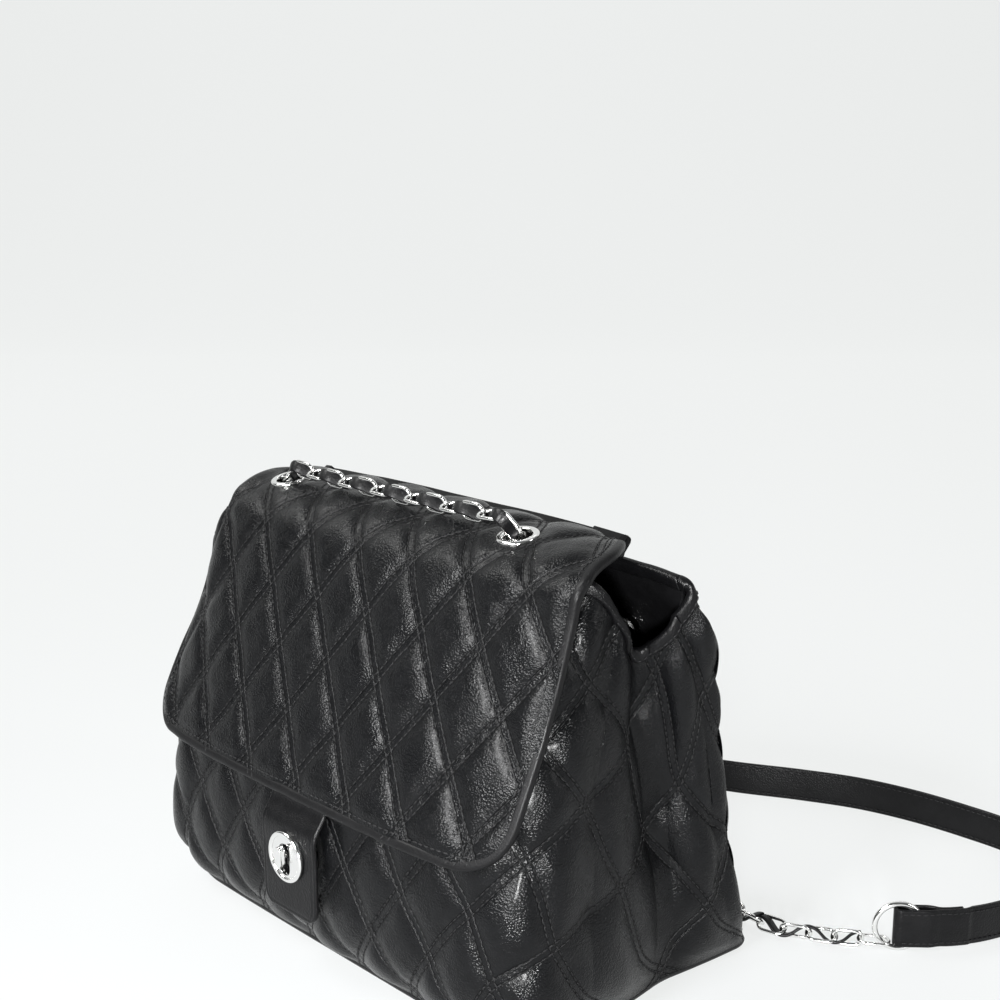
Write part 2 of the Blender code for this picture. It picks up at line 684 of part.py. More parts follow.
def make_flap(seam, fold):
    """The crown strip with the eyelets, and the padded front, its lining and binding."""
    grid, normals = flap_surface()
    row = FLAP_FOLD_ROW
    down = unit(np.gradient(grid, axis=0)[row])
    cloth = FLAP_PAD + GAP + LINING
    top = grid[:row + 1].copy()
    top[row] -= down * GAP
    under = top - normals[:row + 1] * cloth
    flap_top = add_object("flap_top", mesh_from("flap_top", *thick_sheet(top, under)), "leather")
    place_under(flap_top, seam)
    front = grid[row:].copy()
    front[0] += down * GAP
    front_normals = normals[row:]
    for name, near, far, kind in (("flap_front", 0.0, FLAP_PAD, "leather"),
                                  ("flap_lining", FLAP_PAD + GAP, cloth, "lining")):
        outer = front - front_normals * near
        inner = front - front_normals * far
        place_under(add_object(name, mesh_from(name, *thick_sheet(outer, inner)), kind), fold)
    edge = [(r, 0) for r in range(2, front.shape[0])]
    edge += [(front.shape[0] - 1, c) for c in range(1, front.shape[1])]
    edge += [(r, front.shape[1] - 1) for r in range(front.shape[0] - 2, 1, -1)]
    path = np.array([front[r, c] for r, c in edge])
    facing = np.array([front_normals[r, c] for r, c in edge])
    along = unit(np.gradient(path, axis=0))
    outward = unit(np.cross(facing, along))
    outward *= np.sign(np.sum(outward * (path - front.mean(axis=(0, 1))), axis=1))[:, None]
    under = path - facing * cloth
    low = outward * FLAP_BINDING_REACH
    stations = [binding_section(path[i], under[i], path[i] - low[i], under[i] - low[i],
                                FLAP_BINDING_GAP, FLAP_BINDING) for i in range(len(path))]
    binding = mesh_from("flap_binding", *folded_sweep(stations))
    place_under(add_object("flap_binding", binding, "leather"), fold)
    return flap_top


def place_under(thing, parent):
    """Parent an object and keep its world place."""
    thing.parent = parent
    thing.matrix_parent_inverse = parent.matrix_world.inverted()


def new_axis(name, row, parent):
    """Empty on one of the flap's two bending lines."""
    y, z = flap_middle()[row]
    axis = bpy.data.objects.new(name, None)
    BAG.objects.link(axis)
    axis.location = (0.0, y, z)
    bpy.context.view_layer.update()
    if parent:
        place_under(axis, parent)
        bpy.context.view_layer.update()
    return axis


def stadium(half_width, half_height, count):
    """Outline of an upright slot with round ends, in the plane of its face."""
    straight = half_height - half_width
    points = []
    for centre, start in ((straight, 0.0), (-straight, math.pi)):
        for i in range(count + 1):
            angle = start + math.pi * i / count
            points.append((half_width * math.cos(angle), centre + half_width * math.sin(angle)))
    return np.array(points)


def facing_front(thing, x, y, z):
    """Place a piece whose own +Z is its front, so that it faces -Y at (x, y, z)."""
    thing.location = (x, y, z)
    thing.rotation_euler = (math.pi / 2, 0.0, 0.0)
    bpy.context.view_layer.update()


def turned(name, profile, steps, kind):
    """A solid of revolution round its own Z axis, from a closed (radius, height) profile."""
    mesh = bpy.data.meshes.new(name)
    count = len(profile)
    mesh.from_pydata([(r, 0.0, z) for r, z in profile],
                     [(i, (i + 1) % count) for i in range(count)], [])
    made = add_object(name, mesh, kind)
    screw = made.modifiers.new("turn", "SCREW")
    screw.axis = "Z"
    screw.steps = steps
    screw.render_steps = steps
    screw.use_merge_vertices = True
    screw.merge_threshold = GAP / 30
    screw.use_smooth_shade = True
    return made


def disc(name, radius, thickness, kind):
    """A flat round plate from its own z = 0 upwards."""
    mesh = bpy.data.meshes.new(name)
    work = bmesh.new()
    bmesh.ops.create_cone(work, cap_ends=True, segments=ROUND_STEPS, radius1=radius,
                          radius2=radius, depth=thickness)
    bmesh.ops.translate(work, verts=work.verts, vec=(0.0, 0.0, thickness / 2))
    work.to_mesh(mesh)
    work.free()
    return add_object(name, shade_round(mesh), kind)


def combine(target, tool, operation):
    """Add a Boolean of one object to another; the tool becomes a hidden cutter."""
    for group in list(tool.users_collection):
        group.objects.unlink(tool)
    CUTTERS.objects.link(tool)
    tool.hide_render = True
    tool.display_type = "WIRE"
    step = target.modifiers.new(tool.name, "BOOLEAN")
    step.operation = operation
    step.object = tool
    step.solver = "EXACT"


def slot_cutter(name, grow):
    """Upright slot prism for the lock's frame, back plate and tab, facing the front."""
    outline = stadium(SLOT_HALF_WIDTH + grow, SLOT_HALF_HEIGHT + grow, SLOT_ROUND_STEPS * 2)
    depth = LOCK_FRAME + LOCK_RIM_RISE + TAB + LOCK_BACK + CUT_OVERRUN * 2
    cutter = flat_outline(name, outline, depth, -depth / 2, "silver")
    y = -TAB_REACH + TAB / 2
    facing_front(cutter, 0.0, y, LOCK_HEIGHT - SLOT_DROP)
    return cutter


def tab_middle():
    """Middle line of the tab's outer face as (y, z) rows, upright beside the lock."""
    straight = LOCK_HEIGHT + TAB_OVER_LOCK
    rise = straight + np.asarray(TAB_RISE_SHARES) * (TAB_TOP - straight)
    fall = LOCK_HEIGHT - np.asarray(TAB_FALL_SHARES) * TAB_UNDER_LOCK
    reach = -np.asarray(TAB_REACH_SHARES) * TAB_REACH
    return np.stack([reach, np.concatenate([rise, fall])], axis=1)


def make_tab(fold):
    """Leather tab that hangs behind the flap's lower edge, with the lock's slot through it."""
    middle = tab_middle()
    widths = rounded_widths(middle, TAB_HALF_WIDTH, np.ones(len(middle)), TAB_CORNER)
    level = np.zeros(len(middle))
    grid = sheet_grid(middle, widths, level, level, TAB_COLUMN_SHARES)
    normals = grid_normals(grid)
    normals *= -np.sign(normals[0, 0, 1])
    tab = add_object("flap_tab", mesh_from("flap_tab", *thick_sheet(grid, grid - normals * TAB)),
                     "leather")
    combine(tab, slot_cutter("tab_slot_cutter", GAP), "DIFFERENCE")
    place_under(tab, fold)


def make_lock(rings, fold):
    """Frame and back plate on the tab; base, post, knob and washer on the front panel."""
    front = rings[:, HALF_COLUMNS]

    def face_at(rise):
        return np.interp(LOCK_HEIGHT + rise, front[:, 2], front[:, 1])

    frame_y = -TAB_REACH - GAP
    frame_z = LOCK_HEIGHT - SLOT_DROP / 2
    inner = LOCK_FRAME_RADIUS - LOCK_RIM
    mid = LOCK_FRAME + LOCK_RIM_RISE
    frame = disc("lock_frame", LOCK_FRAME_RADIUS, mid, "silver")
    facing_front(frame, 0.0, frame_y, frame_z)
    dish = disc("frame_dish_cutter", inner, LOCK_RIM_RISE + CUT_OVERRUN, "silver")
    facing_front(dish, 0.0, frame_y - LOCK_FRAME, frame_z)
    combine(frame, dish, "DIFFERENCE")
    combine(frame, slot_cutter("frame_slot_cutter", 0.0), "DIFFERENCE")
    place_under(frame, fold)
    back = disc("lock_frame_back", LOCK_BACK_RADIUS, LOCK_BACK, "silver")
    facing_front(back, 0.0, -TAB_REACH + TAB + GAP + LOCK_BACK, frame_z)
    combine(back, slot_cutter("back_slot_cutter", 0.0), "DIFFERENCE")
    place_under(back, fold)

    base_y = min(face_at(-LOCK_BASE_RADIUS), face_at(0.0), face_at(LOCK_BASE_RADIUS)) - GAP
    base = disc("lock_base", LOCK_BASE_RADIUS, LOCK_BASE, "silver")
    facing_front(base, 0.0, base_y, LOCK_HEIGHT)
    knob_back = frame_y - LOCK_FRAME - LOCK_RIM_RISE - KNOB_LIFT
    post = disc("post_shape", POST_RADIUS, base_y - knob_back + KNOB_SOCKET - GAP, "silver")
    facing_front(post, 0.0, base_y, LOCK_HEIGHT)
    combine(base, post, "UNION")
    knob = flat_outline("turn_knob", stadium(KNOB_HALF_WIDTH, KNOB_HALF_HEIGHT,
                                             SLOT_ROUND_STEPS * 2), KNOB, 0.0, "silver")
    for corner in knob.data.vertices:
        corner.co.z += KNOB / 2
    facing_front(knob, 0.0, knob_back, LOCK_HEIGHT)
    edge = knob.modifiers.new("edge", "BEVEL")
    edge.width = KNOB_EDGE
    edge.segments = 2
    edge.limit_method = "ANGLE"
    socket = disc("knob_socket_cutter", POST_RADIUS + GAP, KNOB_SOCKET + CUT_OVERRUN, "silver")
    facing_front(socket, 0.0, knob_back + CUT_OVERRUN, LOCK_HEIGHT)
    combine(knob, socket, "DIFFERENCE")
    washer = disc("lock_washer", WASHER_RADIUS, WASHER, "silver")
    facing_front(washer, 0.0, face_at(0.0) + PANEL + GAP * 1.5 + WASHER, LOCK_HEIGHT)
    lean = (face_at(WASHER_RADIUS) - face_at(-WASHER_RADIUS)) / (WASHER_RADIUS * 2)
    washer.rotation_euler.x -= math.atan(lean)


def eyelet_profile(cloth):
    """Flange, barrel and rolled rim of an eyelet whose cloth lies from z = 0 down."""
    rolled = cloth + EYELET_WASHER + GAP * 2
    wall = EYELET_BORE + EYELET_WALL
    middle = (EYELET_BORE + EYELET_FLANGE) / 2
    return [(EYELET_BORE, GAP + EYELET_RISE / 2), (middle, GAP + EYELET_RISE),
            (EYELET_FLANGE, GAP + EYELET_RISE / 2), (EYELET_FLANGE, GAP), (wall, GAP),
            (wall, -rolled), (EYELET_ROLL, -rolled), (EYELET_ROLL, -rolled - EYELET_WALL),
            (EYELET_BORE, -rolled - EYELET_WALL)]


def washer_profile(cloth):
    """Flat washer between the cloth's inner side and the rolled rim."""
    inner = EYELET_BORE + EYELET_WALL + GAP
    top = -cloth - GAP
    return [(inner, top), (EYELET_WASHER_RADIUS, top),
            (EYELET_WASHER_RADIUS, top - EYELET_WASHER), (inner, top - EYELET_WASHER)]


def make_eyelet(side, where, place, outward, cloth, holed, parent):
    """One eyelet with its washer, and its hole through each piece of cloth."""
    turn = Vector(outward).to_track_quat("Z", "Y")
    for name, profile in ((f"eyelet_{where}_{side}", eyelet_profile(cloth)),
                          (f"eyelet_washer_{where}_{side}", washer_profile(cloth))):
        made = turned(name, profile, EYELET_STEPS, "silver")
        made.location = place
        made.rotation_mode = "QUATERNION"
        made.rotation_quaternion = turn
        if parent:
            place_under(made, parent)
    hole = disc(f"hole_cutter_{where}_{side}", EYELET_BORE + EYELET_WALL + GAP,
                cloth + CUT_OVERRUN * 2, "silver")
    hole.location = Vector(place) - Vector(outward) * (cloth + CUT_OVERRUN)
    hole.rotation_mode = "QUATERNION"
    hole.rotation_quaternion = turn
    for cloth_piece in holed:
        combine(cloth_piece, hole, "DIFFERENCE")


def eyelet_places(rings):
    """Centre and outward direction of the right eyelets on the flap and on the back panel."""
    middle = flap_middle()
    high, low = middle[FLAP_FOLD_ROW - 2], middle[FLAP_FOLD_ROW - 1]
    share = (-EYELET_DEPTH - high[0]) / (low[0] - high[0])
    z = high[1] + (low[1] - high[1]) * share
    slope = unit(low - high)
    flap = (np.array([EYELET_SPREAD, -EYELET_DEPTH, z]), np.array([0.0, slope[1], -slope[0]]))
    column = BACK_STEPS // 2
    low, side = rings[-PRESSED_ROWS - 1, column], rings[-PRESSED_ROWS - 1, column + 1]
    high = rings[-PRESSED_ROWS, column + 1]
    weights = np.array([np.linalg.norm(side - high), np.linalg.norm(low - high),
                        np.linalg.norm(low - side)])
    centre = (low * weights[0] + side * weights[1] + high * weights[2]) / weights.sum()
    normal = unit(np.cross(side - low, high - low))
    return flap, (centre, normal * np.sign(normal[1]))


def mirrored(vector):
    """The same vector on the other side of the bag's middle plane."""
    return np.asarray(vector, float) * np.array([-1.0, 1.0, 1.0])


def link_curve():
    """Closed wire of one link, drawn once and shared by all of them."""
    radius = (LINK_WIDTH - LINK_WIRE) / 2
    reach = (LINK_PITCH + LINK_WIRE + GAP) / 2
    curve = bpy.data.curves.new("chain_link", "CURVE")
    curve.dimensions = "3D"
    curve.bevel_depth = LINK_WIRE / 2
    curve.bevel_resolution = 1
    spline = curve.splines.new("POLY")
    places = []
    for sign in (1, -1):
        for i in range(LINK_BEND_STEPS + 1):
            angle = math.pi * (i / LINK_BEND_STEPS - 0.5)
            places.append((sign * (reach - radius + radius * math.cos(angle)),
                           sign * radius * math.sin(angle)))
    spline.points.add(len(places) - 1)
    for point, place in zip(spline.points, places):
        point.co = (place[0], place[1], 0.0, 1.0)
    spline.use_cyclic_u = True
    return curve


def link_matrix(start, end, up, twist):
    """Matrix that lays a link from joint to joint, its plane turned by twist from level."""
    middle = (np.asarray(start) + np.asarray(end)) / 2
    along = unit(np.asarray(end) - np.asarray(start))
    side = unit(np.cross(up, along))
    rise = np.cross(along, side)
    across = side * math.cos(twist) + rise * math.sin(twist)
    normal = np.cross(along, across)
    rows = np.stack([along, across, normal], axis=1)
    matrix = Matrix.Identity(4)
    for r in range(3):
        for c in range(3):
            matrix[r][c] = rows[r, c]
        matrix[r][3] = middle[r]
    return matrix


def make_links(name, joints, ups, twists, mesh, parent=None):
    """One object for each link between neighbouring joints."""
    for i in range(len(joints) - 1):
        link = bpy.data.objects.new(f"{name}_{i + 1:02d}", mesh)
        BAG.objects.link(link)
        link.matrix_world = link_matrix(joints[i], joints[i + 1], ups[i], twists[i])
        if parent:
            place_under(link, parent)


def settled_twists(count, both_ends):
    """Twists of a run of links: flat and upright at an end, easing to alternate slants."""
    twists = []
    for i in range(count):
        from_end = min(i, count - 1 - i) if both_ends else i
        side = 1.0 if i <= count - 1 - i or not both_ends else -1.0
        ease = SETTLE_SHARES[min(from_end, len(SETTLE_SHARES) - 1)]
        if from_end % 2:
            twists.append(side * (LINK_TWIST + UPRIGHT_TURN * ease))
        else:
            twists.append(side * (-LINK_TWIST + FLAT_TURN * ease))
    return twists


def weave(joints, ups, twists, first_sign):
    """Lace places and facings: over one joint, through the link, under the next joint."""
    places = []
    facings = []
    means = [(a + b) / 2 for a, b in zip(twists, twists[1:])]
    means = [means[0]] + means + [means[-1]]
    for i in range(len(joints) - 1):
        start, end = np.asarray(joints[i]), np.asarray(joints[i + 1])
        along = unit(end - start)
        side = unit(np.cross(ups[i], along))
        rise = np.cross(along, side)
        sign = first_sign * (-1) ** i
        for share in (0.0, 0.25, 0.5, 0.75):
            mean = means[i] + (means[i + 1] - means[i]) * share
            free = rise * math.cos(mean) - side * math.sin(mean)
            lift = sign * LACE_RISE * math.cos(math.pi * share)
            places.append(start + (end - start) * share + free * lift)
            facings.append(free)
    return np.array(places), np.array(facings)


def strip_stations(points, ups):
    """Rectangular sections of the lace along the points."""
    along = unit(np.gradient(points, axis=0))
    side = unit(np.cross(ups, along))
    face = np.cross(along, side)
    stations = []
    for place, s, f in zip(points, side, face):
        stations.append(np.array([place + s * LACE_WIDTH / 2 * a + f * LACE / 2 * b
                                  for a, b in ((1, 1), (-1, 1), (-1, -1), (1, -1))]))
    return stations


def run_joints(place, outward):
    """Joints of the chain across the flap, from inside one eyelet to inside the other."""
    level = outward / outward[2]
    half = RUN_LINKS * LINK_PITCH / 2
    x = np.linspace(-half, half, RUN_LINKS + 1)
    lift = RUN_HEIGHT + RUN_END_LIFT * (x / half) ** 4
    joints = [np.array([v, place[1], place[2]]) + level * h for v, h in zip(x, lift)]
    dip = place - outward * DIP_DEPTH
    return [mirrored(dip)] + joints + [dip]


def step_along(route, start, count):
    """Joints a pitch apart along a route, starting at the given point."""
    fine = smooth_route(route, LINK_PITCH / 40)
    joints = [np.asarray(start, float)]
    index = 0
    while len(joints) <= count:
        away = np.linalg.norm(fine[index:] - joints[-1], axis=1)
        ahead = np.nonzero(away >= LINK_PITCH)[0]
        index += int(ahead[0])
        joints.append(fine[index])
    return joints, fine[index:]


def heading_vector(angle):
    """Level unit vector at an angle from +X."""
    return np.array([math.cos(angle), math.sin(angle), 0.0])


def ring_centre(place):
    """A strap ring stands on the floor on its edge."""
    return np.array([place[0], place[1], RING_RADIUS + RING_WIRE / 2])


def make_ring(name, place, heading):
    """Round wire ring, upright, in the plane of its heading."""
    bpy.ops.mesh.primitive_torus_add(major_radius=RING_RADIUS, minor_radius=RING_WIRE / 2,
                                     major_segments=RING_STEPS, minor_segments=RING_SIDES)
    ring = bpy.context.object
    ring.name = name
    shade_round(ring.data)
    ring.data.materials.append(MATERIALS["silver"])
    for group in list(ring.users_collection):
        group.objects.unlink(ring)
    BAG.objects.link(ring)
    ring.location = ring_centre(place)
    ring.rotation_euler = (math.pi / 2, 0.0, heading)


def floor_chain(side, place, heading, route, mesh):
    """Real links from the ring along the floor; returns where the covered run goes on."""
    centre = ring_centre(place)
    away = heading_vector(heading)
    hook = centre + RING_RADIUS * (away * math.cos(HOOK_ANGLE) + np.array([0.0, 0.0, 1.0])
                                   * math.sin(HOOK_ANGLE))
    hook[2] = FLOOR_RISE
    lifted = [np.array([x, y, FLOOR_RISE]) for x, y in route]
    pull = unit(lifted[0] - hook)
    inner = hook - pull * (HOOK_REACH - (LINK_WIRE + GAP) / 2)
    joints, rest = step_along([inner] + lifted, inner, FLOOR_LINKS)
    ups = [np.array([0.0, 0.0, 1.0])] * FLOOR_LINKS
    twists = settled_twists(FLOOR_LINKS, False)
    make_links(f"chain_link_{side}", joints, ups, twists, mesh)
    return joints, ups, twists, rest


def covered_run(side, rest, place, outward, last_run, back_place, back_outward, rings):
    """Tube round the chain's hidden run: floor, up the back, through the back eyelet, flap."""
    sign = 1.0 if side == "right" else -1.0
    flip = np.array([sign, 1.0, 1.0])
    column = BACK_STEPS // 2
    wall = rings[:, column:column + 2].mean(axis=1)
    slope = unit(np.gradient(wall, axis=0))
    clear = COVERED_RADIUS + STAND_OFF
    climb = []
    for row in range(1, len(wall) - PRESSED_ROWS - 1):
        outside = wall[row] + np.array([0.0, slope[row, 2], -slope[row, 1]]) * clear
        outside[0] = back_place[0]
        climb.append(outside * flip)
    reach = COVERED_RADIUS * 2
    out_of_hole = back_place + back_outward * reach
    over = out_of_hole + np.array([0.0, reach, -reach / 2])
    inside = back_place - back_outward * (reach * 2)
    below = place - outward * (reach * 2) + np.array([0.0, reach, 0.0])
    link_end = (LINK_PITCH + LINK_WIRE + GAP - last_run) / 2
    start = place - outward * (DIP_DEPTH + link_end + LINK_END_GAP)
    barrel = start - outward * reach
    sag = (inside + below) / 2 - np.array([0.0, 0.0, reach])
    tail = [over, out_of_hole, back_place, inside, sag, below, barrel, start]
    foot = np.array(CHAIN_FOOT) * flip
    floor = rest[np.linspace(0, len(rest) - 1, COVERED_FLOOR_STEPS).astype(int)]
    route = [rest[0] + unit(rest[1] - rest[0]) * LINK_WIRE * 2]
    route += list(floor[1:]) + [foot] + climb + [point * flip for point in tail]
    points = smooth_route(route, COVERED_STEP)
    curve = bpy.data.curves.new(f"chain_back_{side}", "CURVE")
    curve.dimensions = "3D"
    curve.bevel_depth = COVERED_RADIUS
    curve.bevel_resolution = 2
    curve.use_fill_caps = True
    spline = curve.splines.new("POLY")
    spline.points.add(len(points) - 1)
    for point, spot in zip(spline.points, points):
        point.co = (*spot, 1.0)
    holder = bpy.data.objects.new(f"chain_back_{side}", curve)
    BAG.objects.link(holder)
    bpy.context.view_layer.update()
    curve_to_mesh(holder, "silver")


def strap_loops(route):
    """Plan outline of the strap with its folded ends, and the two slots round the rings."""
    points = smooth_route(route, STRAP_STEP)
    along = np.concatenate([[0.0], np.cumsum(np.linalg.norm(np.diff(points, axis=0), axis=1))])
    slot_length = STRAP_LOOP_BACK + RING_RADIUS + RING_WIRE / 2 + GAP - STRAP_LOOP_WALL
    slot_half = RING_WIRE / 2 + GAP
    bulb = slot_half + STRAP_LOOP_WALL
    marks = [0.0, STRAP_LOOP_WALL, slot_length + STRAP_LOOP_WALL,
             slot_length + STRAP_LOOP_WALL + bulb * 2, STRAP_FOLD_LENGTH,
             STRAP_FOLD_LENGTH + STRAP / 2]
    halves = [bulb - STRAP_LOOP_WALL / 2, bulb, bulb, STRAP_FOLD / 2, STRAP_FOLD / 2, STRAP / 2]
    total = along[-1]
    at = sorted(set(marks + [total - m for m in marks]
                    + [a for a in along if marks[-1] + STRAP < a < total - marks[-1] - STRAP]))
    at = np.array(at)
    centre = np.stack([np.interp(at, along, points[:, axis]) for axis in (0, 1)], axis=1)
    half = np.interp(np.minimum(at, total - at), marks, halves)
    forward = unit(np.gradient(centre, axis=0))
    side = np.stack([-forward[:, 1], forward[:, 0]], axis=1)
    outline = np.concatenate([centre + side * half[:, None], (centre - side * half[:, None])[::-1]])
    slots = []
    for ends in ((0, 1), (-1, -2)):
        start = centre[ends[0]]
        run = unit(centre[ends[1]] - start)
        cross = np.array([-run[1], run[0]])
        near, far = STRAP_LOOP_WALL, STRAP_LOOP_WALL + slot_length
        corners = [(near, -1), (far, -1), (far, 1), (near, 1)]
        slots.append(np.array([start + run * a + cross * slot_half * b for a, b in corners]))
    return outline, slots


def make_strap():
    """Flat shoulder strap on its edge, folded round a ring at each end."""
    right = heading_vector(RIGHT_RING_HEADING)[:2]
    left = heading_vector(LEFT_RING_HEADING)[:2]
    straight = RING_RADIUS + RING_WIRE + STRAP_LOOP_BACK * 2
    reaches = (-STRAP_LOOP_BACK, straight / 3, straight * 2 / 3, straight)
    route = [np.array(RIGHT_RING) + right * reach for reach in reaches]
    route += [np.array(p) for p in STRAP_ROUTE]
    route += [np.array(LEFT_RING) + left * reach for reach in reaches[::-1]]
    outline, slots = strap_loops(route)
    strap = flat_outline("shoulder_strap", [outline] + slots, STRAP_WIDTH, 0.0, "leather")
    lift = RING_RADIUS + RING_WIRE / 2 - STRAP_WIDTH / 2
    for corner in strap.data.vertices:
        spot = np.array(corner.co)[:2]
        near = min(np.linalg.norm(spot - np.array(RIGHT_RING)),
                   np.linalg.norm(spot - np.array(LEFT_RING)))
        corner.co.z += lift * max(0.0, 1.0 - max(0.0, near - straight) / STRAP_SETTLE) ** 2


def ease(values, start, end):
    """Smooth step from nothing at the start to one at the end."""
    share = np.clip((values - start) / (end - start), 0.0, 1.0)
    return share * share * (3.0 - share * 2.0)


def slumped(points):
    """Points after the left front corner has sunk and drawn in, as one smooth bend."""
    width = np.asarray(SLUMP_WIDTH_SHARES) * FLAP_HALF_WIDTH
    height = np.asarray(SLUMP_HEIGHT_SHARES) * FLAP_TOP
    depth = np.asarray(SLUMP_DEPTH_SHARES) * FLAP_REACH
    share = (ease(-points[..., 0], *width) * ease(points[..., 2], *height)
             * ease(-points[..., 1], *depth))
    moved = points.copy()
    moved[..., 0] += share * SLUMP_DRAW
    moved[..., 2] -= share * SLUMP_DROP
    return moved


def slump_soft_pieces():
    """Bend every soft piece alike, so that they still lie on one another."""
    for name in SOFT_PIECES:
        mesh = bpy.data.objects[name].data
        flat = np.empty(len(mesh.vertices) * 3)
        mesh.vertices.foreach_get("co", flat)
        mesh.vertices.foreach_set("co", slumped(flat.reshape(-1, 3)).ravel())
        mesh.update()


def build():
    """Make every piece of the bag."""
    rings = body_rings()
    normals = inward_normals(rings)
    walls = make_walls(rings, normals)
    make_base(rings)
    lining = make_lining(rings)
    make_top_bindings(rings, normals)
    seam = new_axis("flap_seam_axis", 0, None)
    fold = new_axis("flap_fold_axis", FLAP_FOLD_ROW, seam)
    flap_top = make_flap(seam, fold)
    make_tab(fold)
    make_lock(rings, fold)
    (place, outward), (back_place, back_outward) = eyelet_places(rings)
    flap_cloth = FLAP_PAD + GAP + LINING
    wall_cloth = PANEL + LINING_GAP + LINING + GAP * 2
    for side, turn in (("right", np.asarray), ("left", mirrored)):
        make_eyelet(side, "flap", turn(place), turn(outward), flap_cloth, [flap_top], seam)
        make_eyelet(side, "back", turn(back_place), turn(back_outward), wall_cloth,
                    [walls["back_panel"], lining], None)

    wire = link_curve()
    holder = bpy.data.objects.new("chain_link_shape", wire)
    BAG.objects.link(holder)
    bpy.context.view_layer.update()
    shape = curve_to_mesh(holder, "silver")
    mesh = shape.data
    bpy.data.objects.remove(shape, do_unlink=True)
    joints = run_joints(place, outward)
    last_run = np.linalg.norm(joints[-1] - joints[-2])
    ups = [outward] * (len(joints) - 1)
    twists = settled_twists(len(ups), True)
    make_links("chain_link_top", joints, ups, twists, mesh, seam)
    stations = strip_stations(*weave(joints[1:-1], ups[1:-1], twists[1:-1], 1.0))
    lace = mesh_from("chain_lace_top", *stacked_rings(stations))
    place_under(add_object("chain_lace_top", lace, "leather"), seam)

    routes = (("right", RIGHT_RING, RIGHT_RING_HEADING, RIGHT_FLOOR_ROUTE),
              ("left", LEFT_RING, LEFT_RING_HEADING, LEFT_FLOOR_ROUTE))
    for side, ring_place, heading, route in routes:
        make_ring(f"strap_ring_{side}", ring_place, heading)
        floor, floor_ups, turns, rest = floor_chain(side, ring_place, heading, route, mesh)
        if side == "right":
            stations = strip_stations(*weave(floor[1:], floor_ups[1:], turns[1:], 1.0))
            add_object("chain_lace_right",
                       mesh_from("chain_lace_right", *stacked_rings(stations)), "leather")
        covered_run(side, rest, place, outward, last_run, back_place, back_outward, rings)
    make_strap()
    slump_soft_pieces()


clear_scene()
BAG = new_collection("crossbody_bag")
CUTTERS = new_collection("cutters")
MATERIALS = {"leather": new_material("black_leather", LEATHER, 0.38, 0.0),
             "lining": new_material("black_lining", LEATHER_INSIDE, 0.7, 0.0),
             "silver": new_material("polished_silver", SILVER, 0.12, 1.0),
             "board": new_material("grey_board", BOARD_GREY, 0.8, 0.0)}
build()
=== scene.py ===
"""Looks of the quilted crossbody bag: cloth, stitches, chain, lock and light."""

import json
import math

import bmesh
import bpy
import numpy as np
from mathutils import Matrix, Vector

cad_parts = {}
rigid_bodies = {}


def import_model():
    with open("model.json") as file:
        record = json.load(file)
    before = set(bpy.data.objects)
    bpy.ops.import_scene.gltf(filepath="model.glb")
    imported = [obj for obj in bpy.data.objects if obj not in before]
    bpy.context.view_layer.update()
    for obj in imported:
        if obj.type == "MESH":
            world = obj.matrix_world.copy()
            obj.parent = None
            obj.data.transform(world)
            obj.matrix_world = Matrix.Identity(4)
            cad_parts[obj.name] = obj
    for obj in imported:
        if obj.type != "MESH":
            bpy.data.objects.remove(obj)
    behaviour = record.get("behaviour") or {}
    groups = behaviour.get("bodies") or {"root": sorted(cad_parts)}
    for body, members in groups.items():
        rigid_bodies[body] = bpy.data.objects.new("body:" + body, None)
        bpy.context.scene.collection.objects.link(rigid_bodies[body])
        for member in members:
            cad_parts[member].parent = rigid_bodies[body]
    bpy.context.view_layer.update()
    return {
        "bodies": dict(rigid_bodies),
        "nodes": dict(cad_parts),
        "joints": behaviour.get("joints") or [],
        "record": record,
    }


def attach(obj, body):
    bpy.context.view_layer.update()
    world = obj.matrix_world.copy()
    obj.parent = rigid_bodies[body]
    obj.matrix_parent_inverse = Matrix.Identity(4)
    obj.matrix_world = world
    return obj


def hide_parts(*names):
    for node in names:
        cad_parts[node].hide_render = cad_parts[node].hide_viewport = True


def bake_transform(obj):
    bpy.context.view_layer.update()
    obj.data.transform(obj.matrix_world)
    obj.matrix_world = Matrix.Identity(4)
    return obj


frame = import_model()

# Clearances between pieces that touch
GAP = 0.0003

# Body: outer sizes
HALF_WIDTH = 0.150
FRONT_REACH = 0.0905
BACK_REACH = 0.082
FRONT_TOP = 0.202
BACK_TOP = 0.2045
SHOULDER_TOP = 0.198
FOLD_TOP = 0.163
FRONT_CORNER_TOP = 0.203
FRONT_CROWN = 0.007
BACK_CROWN = 0.012
REAR_ROUND = 0.012
FOLD_ROUND = 0.006
FRONT_ROUND = 0.045
GUSSET_PUFF = 0.004

# Body: cloth thicknesses
PANEL = 0.003
LINING = 0.001
LINING_GAP = 0.0016
BASE_PANEL = 0.003

